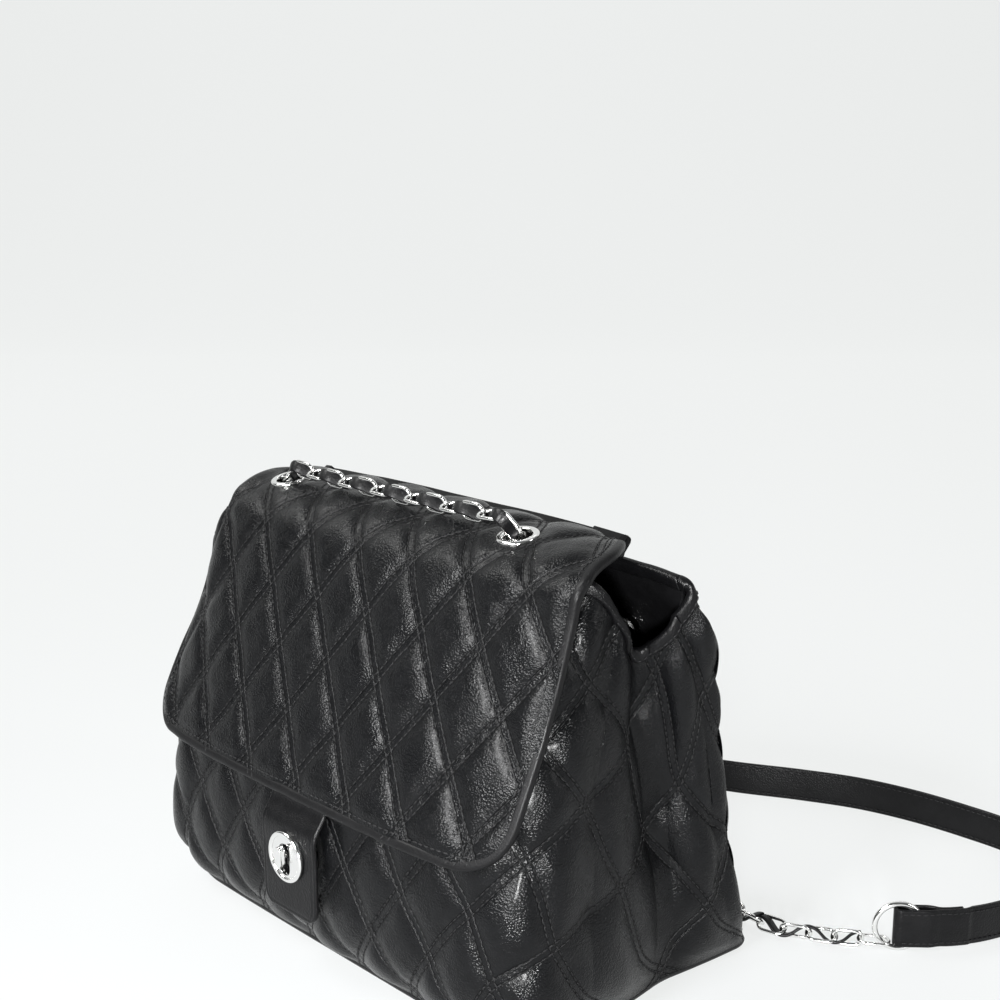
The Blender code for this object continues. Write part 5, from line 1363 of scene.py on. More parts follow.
def make_flap_edge(grid, facing, leather):
    """Strip folded round the flap's sides and lower edge: a rounded section carried along the
    grid's border, smoothed three times, with a row of stitches that lie on the leather.
    """
    path = np.concatenate([grid[:, 0], grid[-1, 1:-1], grid[::-1, -1]])
    face = np.concatenate([facing[:, 0], facing[-1, 1:-1], facing[::-1, -1]])
    keep = np.append(True, np.diff(lengths_along(path)) > 0.0003)
    path, face = path[keep], face[keep]
    for _ in range(3):
        path[1:-1] = (path[:-2] + path[1:-1] * 2 + path[2:]) / 4
        face = unit(np.concatenate([face[:1], face[:-2] + face[1:-1] * 2 + face[2:], face[-1:]]))
    outward = unit(np.cross(unit(np.gradient(path, axis=0)), face))
    side = np.sum(outward * (path - grid.mean(axis=(0, 1))), axis=1)
    outward = outward * np.sign(side)[:, None]
    middle = path - face * (FLAP_PAD + LINING) / 2 - outward * 0.0012
    wobble = noise(np.arange(len(middle)) / 14.0, middle[:, 0] * 0, 5)[:, None] * 0.0002
    mesh = closed_sweep("flap_edge_strip", middle + outward * wobble, outward, face,
                        round_section(*EDGE_SECTION, 5))
    put("flap_edge_strip", mesh, "leather_flat", FLAP_BEND, ["flap_binding"])
    stitches = spaced(path - outward * 0.0046, face, EDGE_STITCH)
    leather = leather.reshape(-1, 3)
    away = np.linalg.norm(leather - stitches[:, None, :3], axis=2)
    nearest = leather[away.argmin(axis=1)]
    level = np.sum((nearest - stitches[:, :3]) * stitches[:, 6:], axis=1)
    level = np.convolve(np.pad(level, 2, mode="edge"), np.full(5, 0.2), mode="valid")
    stitches[:, :3] += stitches[:, 6:] * level[:, None]
    sew("flap_edge_stitching", stitches, EDGE_STITCH * 0.7, THREAD * 1.15, FLAP_BEND)


def make_rear_roll(grid, facing):
    """Padded roll along the flap's rear edge: a rounded section on that edge, wrinkled by two
    lengths of noise.
    """
    path = grid[0]
    face = facing[0]
    back = np.cross(face, unit(np.gradient(path, axis=0)))
    back = back * np.sign(back[:, 1:2])
    ripple = noise(path[:, 0] * 120, path[:, 0] * 0, 41)[:, None] * 0.0005
    ripple = ripple + noise(path[:, 0] * 45, path[:, 0] * 0, 42)[:, None] * 0.0006
    middle = path - face * (ROLL_RADIUS + 0.0002) + (face + back) * ripple
    section = round_section(ROLL_RADIUS * 1.15, ROLL_RADIUS, ROLL_RADIUS * 0.98, 8)
    mesh = closed_sweep("flap_rear_roll", middle, back, face, section)
    put("flap_rear_roll", mesh, "leather", "flap_crown")


def make_rear_band(grid, facing, rings, normals):
    """Strip that joins the flap's rear edge to the back panel and bends between them.

    Each column is a quadratic curve from the roll down to the panel, bowed out at its middle.
    """
    columns = np.arange(10, grid.shape[1] - 10)
    start = grid[0, columns] - facing[0, columns] * ROLL_RADIUS
    x = start[:, 0]
    row = len(ROW_SHARES) - 10
    full = 2 * HALF_COLUMNS
    wall_columns = ring_columns(full - REAR_START, full + REAR_START)
    wall = rings[row, wall_columns] + normals[row, wall_columns] * (BAND + 0.0002)
    order = np.argsort(rings[row, wall_columns, 0])
    foot = read_columns(x, rings[row, wall_columns, 0][order], wall[order])
    foot[:, 0] = x
    bend = (start + foot) / 2 + np.array([0.0, 0.0042, 0.0016])
    t = np.linspace(0.0, 1.0, 16)[:, None, None]
    band = start[None] * (1 - t) ** 2 + bend[None] * 2 * t * (1 - t) + foot[None] * t ** 2
    ripple = noise(band[..., 0] * 90, t[..., 0] * 1.3 + band[..., 0] * 0, 31) * 0.0006
    out = outward_normals(band, np.broadcast_to(np.array([0.0, 1.0, 0.4]), band.shape))
    band = band + out * (ripple * np.sin(math.pi * t[..., 0]))[..., None]
    uv = np.stack([band[..., 0], arc_lengths(band, 0)], axis=2)
    thick = linked("flap_rear_band_shape", grid_mesh("flap_rear_band", band, out, uv))
    solid = thick.modifiers.new("thickness", "SOLIDIFY")
    solid.thickness = BAND
    solid.offset = -1.0
    mesh = baked(thick)
    mesh.name = "flap_rear_band"
    low, high = foot.mean(axis=0), start.mean(axis=0)
    put("flap_rear_band", mesh, "leather",
        ("bag_body", "flap_crown", (0.0, float(low[1]), float(low[2])),
         (0.0, float(high[1]), float(high[2]))))


def make_tab_piece():
    """Smooth leather tab with a pressed rim and the lock's slot.

    A closed grid runs over its front and its back. Near the rim both round off by a circle's
    arc, behind a shallow pressed line in the front, and the lower corners are arcs as well.
    """
    _, total, at, line, draw = rounded_rows(tab_middle(), 0.0, TAB_STEP, TAB_CORNER, 16)
    still = np.zeros(len(at))
    grid = sheet_grid(line, TAB_HALF_WIDTH - draw, still, still, np.linspace(-1.0, 1.0, 64))
    facing = outward_normals(grid, np.broadcast_to(np.array([0.0, -1.0, 0.0]), grid.shape))
    side = (TAB_HALF_WIDTH - draw)[:, None] - np.abs(grid[..., 0])
    rim = np.minimum(side, (total - at)[:, None])
    round_off = 0.0007 * (1 - np.sqrt(np.clip(1 - (1 - np.clip(rim / 0.0016, 0, 1)) ** 2, 0, 1)))
    dip = 0.00022 * np.exp(-((rim - 0.0022) / 0.0006) ** 2)
    soft = noise(grid[..., 0] * 60, grid[..., 2] * 60, 33) * 0.00012 * ease(rim, 0.0, 0.004)
    front = grid + facing * (soft - round_off - dip)[..., None]
    back = grid - facing * (TAB - round_off)[..., None]
    loop = np.concatenate([front, back[:, ::-1]], axis=1)
    outward = np.concatenate([facing, -facing[:, ::-1]], axis=1)
    wide = np.concatenate([grid[..., 0], 0.1 - grid[:, ::-1, 0], grid[:, :1, 0]], axis=1)
    high = np.broadcast_to(at[:, None], wide.shape)
    mesh = grid_mesh("flap_tab_shape", loop, outward, np.stack([wide, high], axis=2), closed=True)
    count = loop.shape[1]
    near = np.arange(count // 2 - 1)
    end = np.stack([near, near + 1, count - 2 - near, count - 1 - near], axis=1)
    ends = np.concatenate([end, end + (len(loop) - 1) * count])
    thing = linked("flap_tab_shape", remade(mesh, ends.tolist(), smooth=True))
    cutter = prism(stadium(SLOT_HALF_WIDTH + GAP, SLOT_HALF_HEIGHT + GAP, 14), 0.02,
                   (0.0, -TAB_REACH, LOCK_HEIGHT - SLOT_DROP))
    cut(thing, cutter)
    mesh = baked(thing)
    bpy.data.objects.remove(cutter, do_unlink=True)
    mesh.name = "flap_tab_leather"
    put("flap_tab_leather", mesh, "leather", "flap_drop", ["flap_tab"])


def prism(outline, depth, place):
    """Upright prism that faces the front, from an outline in its own plane."""
    count = len(outline)
    ends = [np.column_stack([outline, np.full(count, z)]) for z in (-depth / 2, depth / 2)]
    near = np.arange(count)
    after = np.roll(near, -1)
    sides = np.stack([near, after, after + count, near + count], axis=1)
    mesh = bpy.data.meshes.new("prism")
    mesh.from_pydata(np.concatenate(ends).tolist(), [],
                     [near[::-1].tolist(), (near + count).tolist()] + sides.tolist())
    return front_object("prism", remade(mesh, merge=MERGE), place)


def cut(target, cutter):
    """Take the cutter's shape out of the target with an exact Boolean."""
    step = target.modifiers.new("cut", "BOOLEAN")
    step.operation = "DIFFERENCE"
    step.object = cutter
    step.solver = "EXACT"
    cutter.hide_render = True


def front_lathe(name, profile, place, steps=96):
    """Turned piece whose own +Z faces the front, as an object."""
    mesh = grid_mesh(name, lathe_grid(np.array(profile), steps), closed=True)
    return front_object(name, remade(mesh, merge=MERGE), place)


def finish_metal(thing, name, ride, nodes, width=0.00025, segments=3):
    """Bevel the sharp edges, bake, and put the piece in place as polished metal."""
    bevel = thing.modifiers.new("edge", "BEVEL")
    bevel.width = width
    bevel.segments = segments
    bevel.limit_method = "ANGLE"
    bevel.angle_limit = math.radians(35)
    bevel.harden_normals = False
    mesh = baked(thing)
    mesh.name = name
    mesh.shade_smooth()
    mesh.set_sharp_from_angle(angle=math.radians(32))
    return put(name, mesh, "silver", ride, nodes)


def arc_profile(centre, radius, start, end, steps):
    """Points of an arc in a (radius, height) profile, with angles in degrees."""
    angle = np.radians(np.linspace(start, end, steps))
    return (np.array(centre) + radius * np.stack([np.cos(angle), np.sin(angle)], 1)).tolist()


def disc_profile(radius, low, high):
    """Profile of a plain disc between two heights."""
    return [(0.0, low), (radius, low), (radius, high), (0.0, high)]


def make_lock_pieces(rings):
    """Frame, back plate, base with its post, and the turn knob, with fine edges.

    The round ones are profiles of radius and height turned about the lock's axis. A prism cuts
    the slot through frame and back plate. The knob is a prism that narrows with the square of
    the distance to its ends, and has a bore for the post.
    """
    front = rings[:, HALF_COLUMNS]
    heights = LOCK_HEIGHT + LOCK_BASE_RADIUS * np.array([-1.0, 0.0, 1.0])
    base_y = float(np.interp(heights, front[:, 2], front[:, 1]).min()) - GAP
    frame_y = -TAB_REACH - GAP
    frame_z = LOCK_HEIGHT - SLOT_DROP / 2
    rim = LOCK_FRAME + LOCK_RIM_RISE
    dish = LOCK_FRAME_RADIUS - LOCK_RIM
    profile = [(0.0, 0.0), (LOCK_FRAME_RADIUS - 0.0003, 0.0)]
    profile += arc_profile((LOCK_FRAME_RADIUS - 0.0011, rim - 0.0011), 0.0011, 0, 90, 8)
    profile += arc_profile((dish + 0.0002, rim - 0.0009), 0.0009, 90, 175, 7)
    profile += [(dish - 0.0012, LOCK_FRAME - 0.0002), (dish - 0.0034, LOCK_FRAME + 0.0001),
                (0.0, LOCK_FRAME + 0.0003)]
    plate = front_lathe("lock_frame_shape", profile, (0.0, frame_y, frame_z))
    slot = prism(stadium(SLOT_HALF_WIDTH, SLOT_HALF_HEIGHT, 20), 0.03,
                 (0.0, -TAB_REACH + TAB / 2, LOCK_HEIGHT - SLOT_DROP))
    cut(plate, slot)
    finish_metal(plate, "lock_frame_plate", "flap_drop", ["lock_frame"])
    plate = front_lathe("lock_back_shape", disc_profile(LOCK_BACK_RADIUS, 0.0, LOCK_BACK),
                        (0.0, -TAB_REACH + TAB + GAP + LOCK_BACK, frame_z))
    cut(plate, slot)
    finish_metal(plate, "lock_back_plate", "flap_drop", ["lock_frame_back"], 0.0001, 2)
    bpy.data.objects.remove(slot, do_unlink=True)

    knob_back = frame_y - rim - KNOB_LIFT
    post = base_y - knob_back + KNOB_SOCKET - GAP
    profile = [(0.0, 0.0), (LOCK_BASE_RADIUS, 0.0), (LOCK_BASE_RADIUS, LOCK_BASE * 0.6),
               (LOCK_BASE_RADIUS - 0.001, LOCK_BASE), (COLLAR_RADIUS + 0.0005, LOCK_BASE),
               (COLLAR_RADIUS, LOCK_BASE + 0.0006), (POST_RADIUS + 0.0006, LOCK_BASE + 0.0011),
               (POST_RADIUS, LOCK_BASE + 0.0018), (POST_RADIUS, post), (0.0, post)]
    base = front_lathe("lock_base_shape", profile, (0.0, base_y, LOCK_HEIGHT))
    finish_metal(base, "lock_base_plate", "bag_body", ["lock_base"], 0.00015, 2)

    outline = stadium(KNOB_HALF_WIDTH, KNOB_HALF_HEIGHT, 20)
    outline[:, 0] *= KNOB_WAIST + (1 - KNOB_WAIST) * (outline[:, 1] / KNOB_HALF_HEIGHT) ** 2
    knob = prism(outline, KNOB, (0.0, knob_back - KNOB / 2, LOCK_HEIGHT))
    socket = front_lathe("knob_socket", disc_profile(POST_RADIUS + GAP, -0.001, KNOB_SOCKET),
                         (0.0, knob_back, LOCK_HEIGHT), 32)
    cut(knob, socket)
    finish_metal(knob, "turn_knob_bar", "knob", ["turn_knob"], KNOB_EDGE * 1.5, 4)
    bpy.data.objects.remove(socket, do_unlink=True)


def eyelet_rounds(cloth):
    """Fine profile of an eyelet: a flange that swells by a sine to the power 0.8, the barrel
    and the rolled rear rim.
    """
    rolled = cloth + EYELET_WASHER + GAP * 2
    wall = EYELET_BORE + EYELET_WALL
    middle = (EYELET_BORE + EYELET_FLANGE) / 2
    half = (EYELET_FLANGE - EYELET_BORE) / 2
    turn = np.linspace(0.12, math.pi - 0.05, 14)
    crest = np.stack([middle - half * np.cos(turn),
                      GAP + EYELET_RISE * 1.15 * np.sin(turn) ** 0.8], axis=1)
    barrel = [(EYELET_FLANGE, GAP * 0.5), (wall, GAP * 0.5), (wall, -rolled),
              (EYELET_ROLL - 0.0002, -rolled), (EYELET_ROLL, -rolled - EYELET_WALL / 2),
              (EYELET_ROLL - 0.0003, -rolled - EYELET_WALL),
              (EYELET_BORE + 0.0002, -rolled - EYELET_WALL)]
    return np.concatenate([[(EYELET_BORE, -0.0004)], crest, barrel])


def make_eyelet_pieces():
    """The four eyelets: one profile turned about each one's own facing."""
    flap_cloth = FLAP_PAD + GAP + LINING
    wall_cloth = PANEL + LINING_GAP + LINING + GAP * 2
    for where, (place, outward), cloth, body in (("flap", FLAP_EYELET, flap_cloth, "flap_crown"),
                                                 ("back", BACK_EYELET, wall_cloth, "bag_body")):
        for side, flip in (("right", np.ones(3)), ("left", np.array([-1.0, 1.0, 1.0]))):
            node = f"eyelet_{where}_{side}"
            grid = lathe_grid(eyelet_rounds(cloth), 72)
            mesh = remade(grid_mesh(node + "_ring", grid, closed=True), merge=MERGE)
            turn = Vector(outward * flip).to_track_quat("Z", "Y").to_matrix().to_4x4()
            mesh.transform(Matrix.Translation(Vector(place * flip)) @ turn)
            mesh.set_sharp_from_angle(angle=math.radians(50))
            put(node + "_ring", mesh, "silver", body, [node])


def link_shape():
    """Closed grid of one link's wire, round two half circles joined by straights along X."""
    radius = (LINK_WIDTH - LINK_WIRE) / 2
    reach = (LINK_PITCH + LINK_WIRE + GAP) / 2
    angle = math.pi * (np.arange(15) / 14 - 0.5)
    arc = np.stack([reach - radius + radius * np.cos(angle), radius * np.sin(angle), angle * 0],
                   axis=1)
    path = np.concatenate([arc, arc * np.array([-1.0, -1.0, 1.0])])
    return wire_grid(path, UP, LINK_WIRE / 2, 12)


def wire_grid(path, plane, radius, sides):
    """Closed grid of a round wire: a circle carried along a closed path in a plane."""
    along = unit(np.roll(path, -1, axis=0) - np.roll(path, 1, axis=0))
    out = np.cross(along, plane)
    angle = np.linspace(0.0, 2 * math.pi, sides, endpoint=False)
    rise = np.broadcast_to(plane, path.shape)
    grid = (path[:, None] + out[:, None] * (radius * np.cos(angle))[None, :, None]
            + rise[:, None] * (radius * np.sin(angle))[None, :, None])
    return np.concatenate([grid, grid[:1]], axis=0)


def run_axes(joints, ups):
    """Directions along a chain's steps, level across them, and square to both."""
    along = unit(np.diff(joints, axis=0))
    side = unit(np.cross(ups, along))
    return along, side, np.cross(along, side)


def link_mesh(name, joints, ups, twists):
    """Links between neighbouring joints: one link turned to each step and by its twist."""
    shape = link_shape()[:-1]
    index = np.arange(shape[..., 0].size).reshape(shape.shape[:2])
    quads = tube_quads(index, np.roll(index, -1, axis=0))
    shape = shape.reshape(-1, 3)
    along, side, rise = run_axes(joints, ups)
    across = side * np.cos(twists)[:, None] + rise * np.sin(twists)[:, None]
    turn = np.stack([along, across, np.cross(along, across)], axis=1)
    points = shape @ turn + (joints[:-1, None] + joints[1:, None]) / 2
    faces = quads + np.arange(len(turn))[:, None, None] * len(shape)
    mesh = bpy.data.meshes.new(name)
    mesh.from_pydata(points.reshape(-1, 3).tolist(), [], faces.reshape(-1, 4).tolist())
    remade(mesh).shade_smooth()
    return mesh


def lace_mesh(name, joints, ups, twists, first_sign):
    """Flat leather lace woven over one joint and under the next.

    Between joints it crosses the link's middle by the power 0.8 of a cosine, and faces half
    way between the twists of the links beside it.
    """
    along, side, rise = run_axes(joints, ups)
    means = np.pad((twists[:-1] + twists[1:]) / 2, 1, mode="edge")
    share = np.linspace(0.0, 1.0, 12, endpoint=False)
    mean = (means[:-1, None] + np.diff(means)[:, None] * share)[..., None]
    facing = rise[:, None] * np.cos(mean) - side[:, None] * np.sin(mean)
    swing = np.cos(math.pi * share)
    signs = first_sign * (-1.0) ** np.arange(len(along))
    lift = signs[:, None] * LACE_LIFT * np.sign(swing) * np.abs(swing) ** 0.8
    steps = np.diff(joints, axis=0)[:, None] * share[:, None]
    path = (joints[:-1, None] + steps + facing * lift[..., None]).reshape(-1, 3)
    path[1:-1] = (path[:-2] + path[1:-1] * 2 + path[2:]) / 4
    along = unit(np.gradient(path, axis=0))
    side = unit(np.cross(facing.reshape(-1, 3), along))
    section = round_section(LACE_HALF_WIDTH, LACE_HALF, LACE_HALF * 0.9, 3)
    return closed_sweep(name, path, side, np.cross(along, side), section)


def wall_climb(rings, sign):
    """Places up the outside of the back panel, in line with its eyelet."""
    wall = rings[:, int(round(BACK_STEPS * 0.6))]
    slope = unit(np.gradient(wall, axis=0))
    row = (np.array([0.10, 0.24, 0.40, 0.56, 0.72]) * (len(wall) - 1)).astype(int)
    out = np.stack([row * 0.0, slope[row, 2], -slope[row, 1]], axis=1)
    climb = wall[row] + out * (COVERED_RADIUS + STAND_OFF)
    climb[:, 0] = BACK_EYELET[0][0] * sign
    return climb


def put_links(prefix, joints, ups, twists, ride):
    """The links of a run as pieces of their own, numbered from its start."""
    for i in range(len(ups)):
        node = f"{prefix}_{i + 1:02d}"
        mesh = link_mesh(node + "_wire", joints[i:i + 2], ups[i:i + 1], twists[i:i + 1])
        put(node + "_wire", mesh, "silver", ride, [node])


def make_floor_chain(side, ring_place, heading, route):
    """Links and lace from a strap's ring along the floor: the last joint and the route's rest."""
    hook = ring_centre(ring_place) + RING_RADIUS * (
        heading_vector(heading) * math.cos(HOOK_ANGLE) + UP * math.sin(HOOK_ANGLE))
    hook[2] = FLOOR_RISE
    route = np.column_stack([route, np.full(len(route), FLOOR_RISE)])
    start = hook - unit(route[0] - hook) * (HOOK_REACH - (LINK_WIRE + GAP) / 2)
    joints, rest = joints_along(route, start, FLOOR_LINKS)
    ups = np.tile(UP, (FLOOR_LINKS, 1))
    twists = settled_twists(FLOOR_LINKS)
    put_links(f"chain_link_{side}", joints, ups, twists, "bag_body")
    name = f"chain_lace_{side}_strip"
    nodes = ["chain_lace_right"] if side == "right" else []
    put(name, lace_mesh(name, joints[1:], ups[1:], twists[1:], 1.0), "lace", "bag_body", nodes)
    return joints[-1], rest


def make_hidden_chain(side, sign, last, rest, rings):
    """Links and lace on to the foot of the bag and up its back, and from there through the
    back eyelet and the inside up to the flap's eyelet.
    """
    flip = np.array([sign, 1.0, 1.0])
    place, outward = FLAP_EYELET
    back_place, back_outward = BACK_EYELET
    reach = COVERED_RADIUS * 2
    out_of_hole = back_place + back_outward * reach
    over = out_of_hole + np.array([0.0, reach, -reach / 2])
    inside = back_place - back_outward * (reach * 2)
    below = place - outward * (reach * 2) + np.array([0.0, reach, 0.0])
    end = place - outward * (LINK_WIRE + GAP * 2)
    sag = (inside + below) / 2 - UP * reach
    on_floor = rest[np.linspace(0, len(rest) - 1, 6).astype(int)[1:]]
    outer, _ = joints_along(np.concatenate([on_floor, [CHAIN_FOOT * flip], wall_climb(rings, sign),
                                            flip * [over, out_of_hole]]), last)
    inner, _ = joints_along(flip * [back_place, inside, sag, below, end - outward * reach, end],
                            outer[-1])
    bend = ("bag_body", "flap_crown", (0.0, float(back_place[1]) - 0.004, float(back_place[2])),
            (0.0, float(place[1]), float(place[2])))
    for label, joints, ride, nodes in (("outer", outer, "bag_body", [f"chain_back_{side}"]),
                                       ("inner", inner, bend, [])):
        rise = unit(np.diff(joints, axis=0))[:, 2:]
        level = np.array([0.0, 1.0, 0.0]) * np.where(rise > 0, 1.0, -1.0)
        ups = np.where(np.abs(rise) < 0.7, UP, level)
        twists = LINK_TWIST * (-1.0) ** np.arange(len(ups))
        name = f"chain_{label}_{side}"
        put(name + "_links", link_mesh(name + "_links", joints, ups, twists), "silver", ride,
            nodes)
        put(name + "_lace", lace_mesh(name + "_lace", joints, ups, twists, 1.0), "lace", ride)


def make_chain_pieces(rings):
    """Every link and lace: across the flap, on the floor, up the back and inside the bag."""
    joints = run_joints(*FLAP_EYELET)
    ups = np.tile(FLAP_EYELET[1], (len(joints) - 1, 1))
    twists = LINK_TWIST - LINK_TWIST * (-1.0) ** np.arange(len(ups))
    put_links("chain_link_top", joints, ups, twists, "flap_crown")
    mesh = lace_mesh("chain_lace_top_strip", joints, ups, twists, -1.0)
    put("chain_lace_top_strip", mesh, "lace", "flap_crown", ["chain_lace_top"])
    for side, sign, ring_place, heading, route in (
            ("right", 1.0, RIGHT_RING, RIGHT_RING_HEADING, RIGHT_FLOOR_ROUTE),
            ("left", -1.0, LEFT_RING, LEFT_RING_HEADING, LEFT_FLOOR_ROUTE)):
        last, rest = make_floor_chain(side, ring_place, heading, route)
        make_hidden_chain(side, sign, last, rest, rings)


def make_rings():
    """The two wire rings between the chain and the shoulder strap, upright circles."""
    angle = np.linspace(0.0, 2 * math.pi, 72, endpoint=False)[:, None]
    for node, place, heading in (("strap_ring_right", RIGHT_RING, RIGHT_RING_HEADING),
                                 ("strap_ring_left", LEFT_RING, LEFT_RING_HEADING)):
        along = heading_vector(heading)
        path = ring_centre(place) + RING_RADIUS * (np.cos(angle) * along + np.sin(angle) * UP)
        grid = wire_grid(path, np.cross(along, UP), RING_WIRE / 2, 20)
        mesh = remade(grid_mesh(node + "_wire", grid, closed=True), merge=MERGE)
        put(node + "_wire", mesh, "silver", "bag_body", [node])


def strap_line():
    """Plan line of the shoulder strap between its two rings, and its straight ends' length."""
    right = heading_vector(RIGHT_RING_HEADING)[:2]
    left = heading_vector(LEFT_RING_HEADING)[:2]
    straight = RING_RADIUS + RING_WIRE + STRAP_LOOP_BACK * 2
    reaches = np.array([[-STRAP_LOOP_BACK], [straight / 3], [straight * 2 / 3], [straight]])
    route = np.concatenate([RIGHT_RING + right * reaches, STRAP_ROUTE,
                            LEFT_RING + left * reaches[::-1]])
    return smooth_route(route, 0.0012), straight


def beside(at, along, table, offset):
    """Places at distances along a plan line, moved to its left by an offset."""
    x, y, ahead_x, ahead_y = read_columns(at, along, table).T
    return np.stack([x - ahead_y * offset, y + ahead_x * offset], axis=-1)


def strap_end(along, table, far):
    """One end of the strap in plan, from the tip of its fold to the single band.

    The inner ply runs out to the ring and turns round it in a half circle, the outer one comes
    back beside it, and then the band eases over to the middle line.
    """
    loop = RING_WIRE / 2 + GAP + STRAP_PLY / 2 + 0.0002
    inner = STRAP_FOLD / 4
    turn_at = loop - STRAP_LOOP_BACK + 0.001
    clear_at = STRAP_LOOP_BACK + RING_RADIUS + RING_WIRE / 2 + 0.0005

    def read(distance, offset):
        return beside(along[-1] - distance if far else distance, along, table, offset)

    out = np.linspace(STRAP_FOLD_LENGTH, turn_at, 46)
    closing = ease(out, clear_at, clear_at + 2 * (loop - inner) + 0.004)
    offset = inner + (loop - inner) * (1 - closing)
    angle = np.linspace(0.0, math.pi, 15)[1:-1, None]
    ahead = read_columns(along[-1] - turn_at if far else turn_at, along, table)[2:]
    inward = -ahead if far else ahead
    bend = np.cos(angle) * np.array([-ahead[1], ahead[0]]) - np.sin(angle) * inward
    settle = np.linspace(STRAP_FOLD_LENGTH, STRAP_FOLD_LENGTH + 0.006, 8)[1:]
    return [read(out, offset), read(turn_at, 0.0) + loop * bend, read(out[::-1], -offset[::-1]),
            read(settle, -inner * (1 - ease(settle, settle[0], settle[-1])))]


def make_strap_pieces():
    """Shoulder strap on its edge: one band folded round a ring at each end, and its stitches.

    A section with pressed rims is carried along the plan line, which rises to the rings with
    the square of the nearness to them.
    """
    line, straight = strap_line()
    along = lengths_along(line)
    table = np.concatenate([line, unit(np.gradient(line, axis=0))], axis=1)
    near = strap_end(along, table, False)
    far = [part[::-1] for part in strap_end(along, table, True)[::-1]]
    main = np.arange(STRAP_FOLD_LENGTH + 0.007, along[-1] - STRAP_FOLD_LENGTH - 0.007, 0.0014)
    plan = np.concatenate(near + [beside(main, along, table, 0.0)] + far)
    folded = np.full(sum(len(part) for part in near[:3]), STRAP_PLY)
    swelling = np.linspace(STRAP_PLY, STRAP, len(near[3]))
    thick = np.concatenate([folded, swelling, np.full(len(main), STRAP), swelling[::-1], folded])
    half = thick[:, None] / 2
    lift = RING_RADIUS + RING_WIRE / 2 - STRAP_WIDTH / 2
    away = near_places(plan, (RIGHT_RING, LEFT_RING))
    share = np.clip(1 - np.clip(away - straight, 0, None) / STRAP_SETTLE, 0, 1)
    path = np.column_stack([plan, STRAP_WIDTH / 2 + lift * share ** 2])
    tangent = unit(np.gradient(plan, axis=0))
    normal = np.stack([-tangent[:, 1], tangent[:, 0], tangent[:, 0] * 0], axis=1)
    section = round_section(half[..., None], STRAP_WIDTH / 2,
                            np.minimum(STRAP_CORNER, half[..., None] * 0.8), 4)
    section = belly(section, half)
    grid = path[:, None] + normal[:, None] * section[..., :1] + UP * section[..., 1:]
    full_section = round_section(STRAP / 2, STRAP_WIDTH / 2, STRAP_CORNER, 4)
    full_section = belly(full_section, STRAP / 2)
    mesh = tube_mesh("shoulder_strap_band", grid, path, full_section)
    put("shoulder_strap_band", mesh, "leather", "bag_body", ["shoulder_strap"])
    lines = []
    tip = len(near[0])
    ringed = tip + len(near[1])
    single = (slice(ringed, len(path) - ringed), (1.0, -1.0))
    tips = [(part, (-1.0,)) for part in (slice(0, tip - 14), slice(len(path) - tip + 14, None))]
    rim = STRAP_WIDTH / 2 - STRAP_STITCH_INSET
    for height in (rim, -rim):
        for part, signs in [single] + tips:
            for sign in signs:
                facing = normal[part] * sign
                out = half[part] + STRAP_STITCH_RISE
                lines.append((path[part] + facing * out + UP * height, facing))
    sew_lines("shoulder_strap_stitching", lines, STRAP_STITCH, THREAD * 0.9)


def belly(section, half):
    """A strap section with pressed rims: thinner by a fifth near both edges, if not folded."""
    share = np.abs(section[..., 1]) / (STRAP_WIDTH / 2)
    pressed = 1 - 0.22 * ease(share, 0.72, 0.86) * (half > 0.001)
    return section * np.stack([pressed, np.ones_like(pressed)], axis=-1)


def make_floor():
    """Pale floor: level away from the camera, then a quarter circle, and a wall above it."""
    size, back, radius = 6.0, 2.2, 1.2
    turn = np.linspace(0.1, math.pi / 2, 14)
    curve = np.stack([back + radius * np.sin(turn), radius * (1 - np.cos(turn))], axis=1)
    profile = np.concatenate([[(-size, 0.0), (back, 0.0)], curve, [(back + radius, size)]])
    away = np.array([-math.sin(VIEW_AZIMUTH), math.cos(VIEW_AZIMUTH), 0.0])
    aside = np.array([math.cos(VIEW_AZIMUTH), math.sin(VIEW_AZIMUTH), 0.0])
    across = np.linspace(-size, size, 3)[:, None]
    grid = profile[:, None, :1] * away + across * aside + profile[:, None, 1:] * UP
    floor = linked("floor", grid_mesh("floor", grid))
    floor.data.materials.append(LOOKS["floor"])
    floor.location.z = -0.0002


def make_light(name, place, target, width, height, power, colour, spread):
    """Soft rectangular light at a place, turned to its target."""
    data = bpy.data.lights.new(name, "AREA")
    data.shape = "RECTANGLE"
    data.size = width
    data.size_y = height
    data.energy = power
    data.color = colour
    data.spread = math.radians(spread)
    light = linked(name, data)
    light.location = place
    light.rotation_euler = (Vector(target) - Vector(place)).to_track_quat("-Z", "Y").to_euler()


def make_studio():
    """Floor, soft lights, an even dim surround, and the camera."""
    make_floor()
    for light in LIGHTS:
        make_light(*light)
    scene = bpy.context.scene
    scene.view_settings.view_transform = "Standard"
    scene.world = bpy.data.worlds.new("studio")
    scene.world.use_nodes = True
    plugged(scene.world.node_tree, scene.world.node_tree.nodes["Background"],
            {"Color": (*WORLD_COLOUR, 1.0), "Strength": WORLD_STRENGTH})
    data = bpy.data.cameras.new("camera")
    data.lens = LENS
    data.sensor_width = SENSOR
    data.clip_start = 0.01
    scene.camera = linked("camera", data)
    scene.camera.location = CAMERA_PLACE
    scene.camera.rotation_euler = (math.pi / 2 - VIEW_ELEVATION, 0.0, VIEW_AZIMUTH)


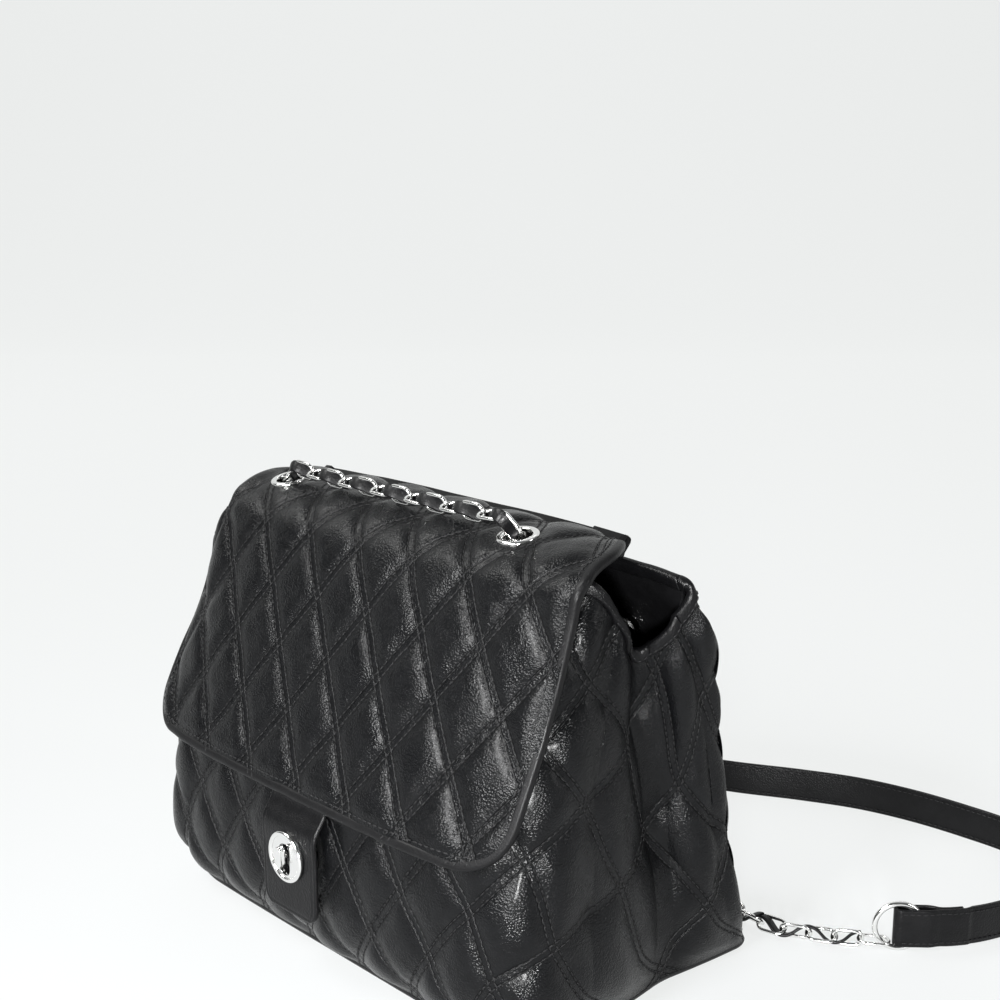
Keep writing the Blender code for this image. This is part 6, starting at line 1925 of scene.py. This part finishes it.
def floor_look():
    """Pale matt floor with a faint mottle, and a little glow of its own for an even ground."""
    look, tree, shader, place = new_look("pale_floor", Roughness=0.8, Specular_IOR_Level=0.2,
                                         Emission_Color=(*FLOOR_GLOW_COLOUR, 1.0),
                                         Emission_Strength=FLOOR_GLOW)
    mottle = new_node(tree, "TexNoise", {"Vector": place.outputs["Object"], "Scale": 14.0})
    tinted(tree, shader, FLOOR_COLOUR, mapped(tree, mottle.outputs["Fac"], 0.0, 1.0, 0.99, 1.01))
    return look


# Finishes: leathers have a colour, a roughness and a strength of grain
LOOKS = {"quilted": leather_look("quilted_leather", (0.0024, 0.0025, 0.0028), 0.27, 0.9, True),
         "leather": leather_look("smooth_leather", (0.0026, 0.0026, 0.0029), 0.36, 0.6),
         "leather_flat": leather_look("inner_leather", (0.0030, 0.0030, 0.0033), 0.48, 0.35),
         "lace": leather_look("lace_leather", (0.0026, 0.0026, 0.0029), 0.40, 0.3),
         "thread": thread_look("black_thread", (0.007, 0.007, 0.0075)),
         "silver": metal_look("polished_silver", (0.83, 0.83, 0.82), 0.12),
         "board": cloth_look("grey_board", (0.18, 0.17, 0.16)),
         "floor": floor_look()}

# The eyelets' places and facings, and the line that the flap bends over
FLAP_EYELET = flap_eyelet()
BACK_EYELET = (np.array(BACK_EYELET_PLACE), unit(BACK_EYELET_FACING))
FOLD_LINE = flap_middle()[FLAP_FOLD_ROW]
FLAP_BEND = ("flap_crown", "flap_drop", (0.0, FOLD_LINE[0] + 0.010, FOLD_LINE[1]),
             (0.0, FOLD_LINE[0] - 0.008, FOLD_LINE[1]))

RINGS, NORMALS = make_wall_pieces()
make_top_strips(RINGS, NORMALS)
make_base_piece(RINGS)
make_lining_piece()
FLAP_GRID, FLAP_FACING = make_flap_pieces()
make_rear_roll(FLAP_GRID, FLAP_FACING)
make_rear_band(FLAP_GRID, FLAP_FACING, RINGS, NORMALS)
make_tab_piece()
make_lock_pieces(RINGS)
make_eyelet_pieces()
make_chain_pieces(RINGS)
make_rings()
make_strap_pieces()

# The board and the washers keep their solids and get a finish
for node, thing in frame["nodes"].items():
    if "washer" in node or node == "base_board":
        kept = LOOKS["board" if node == "base_board" else "silver"]
        for spot in thing.material_slots:
            spot.material = kept
make_studio()
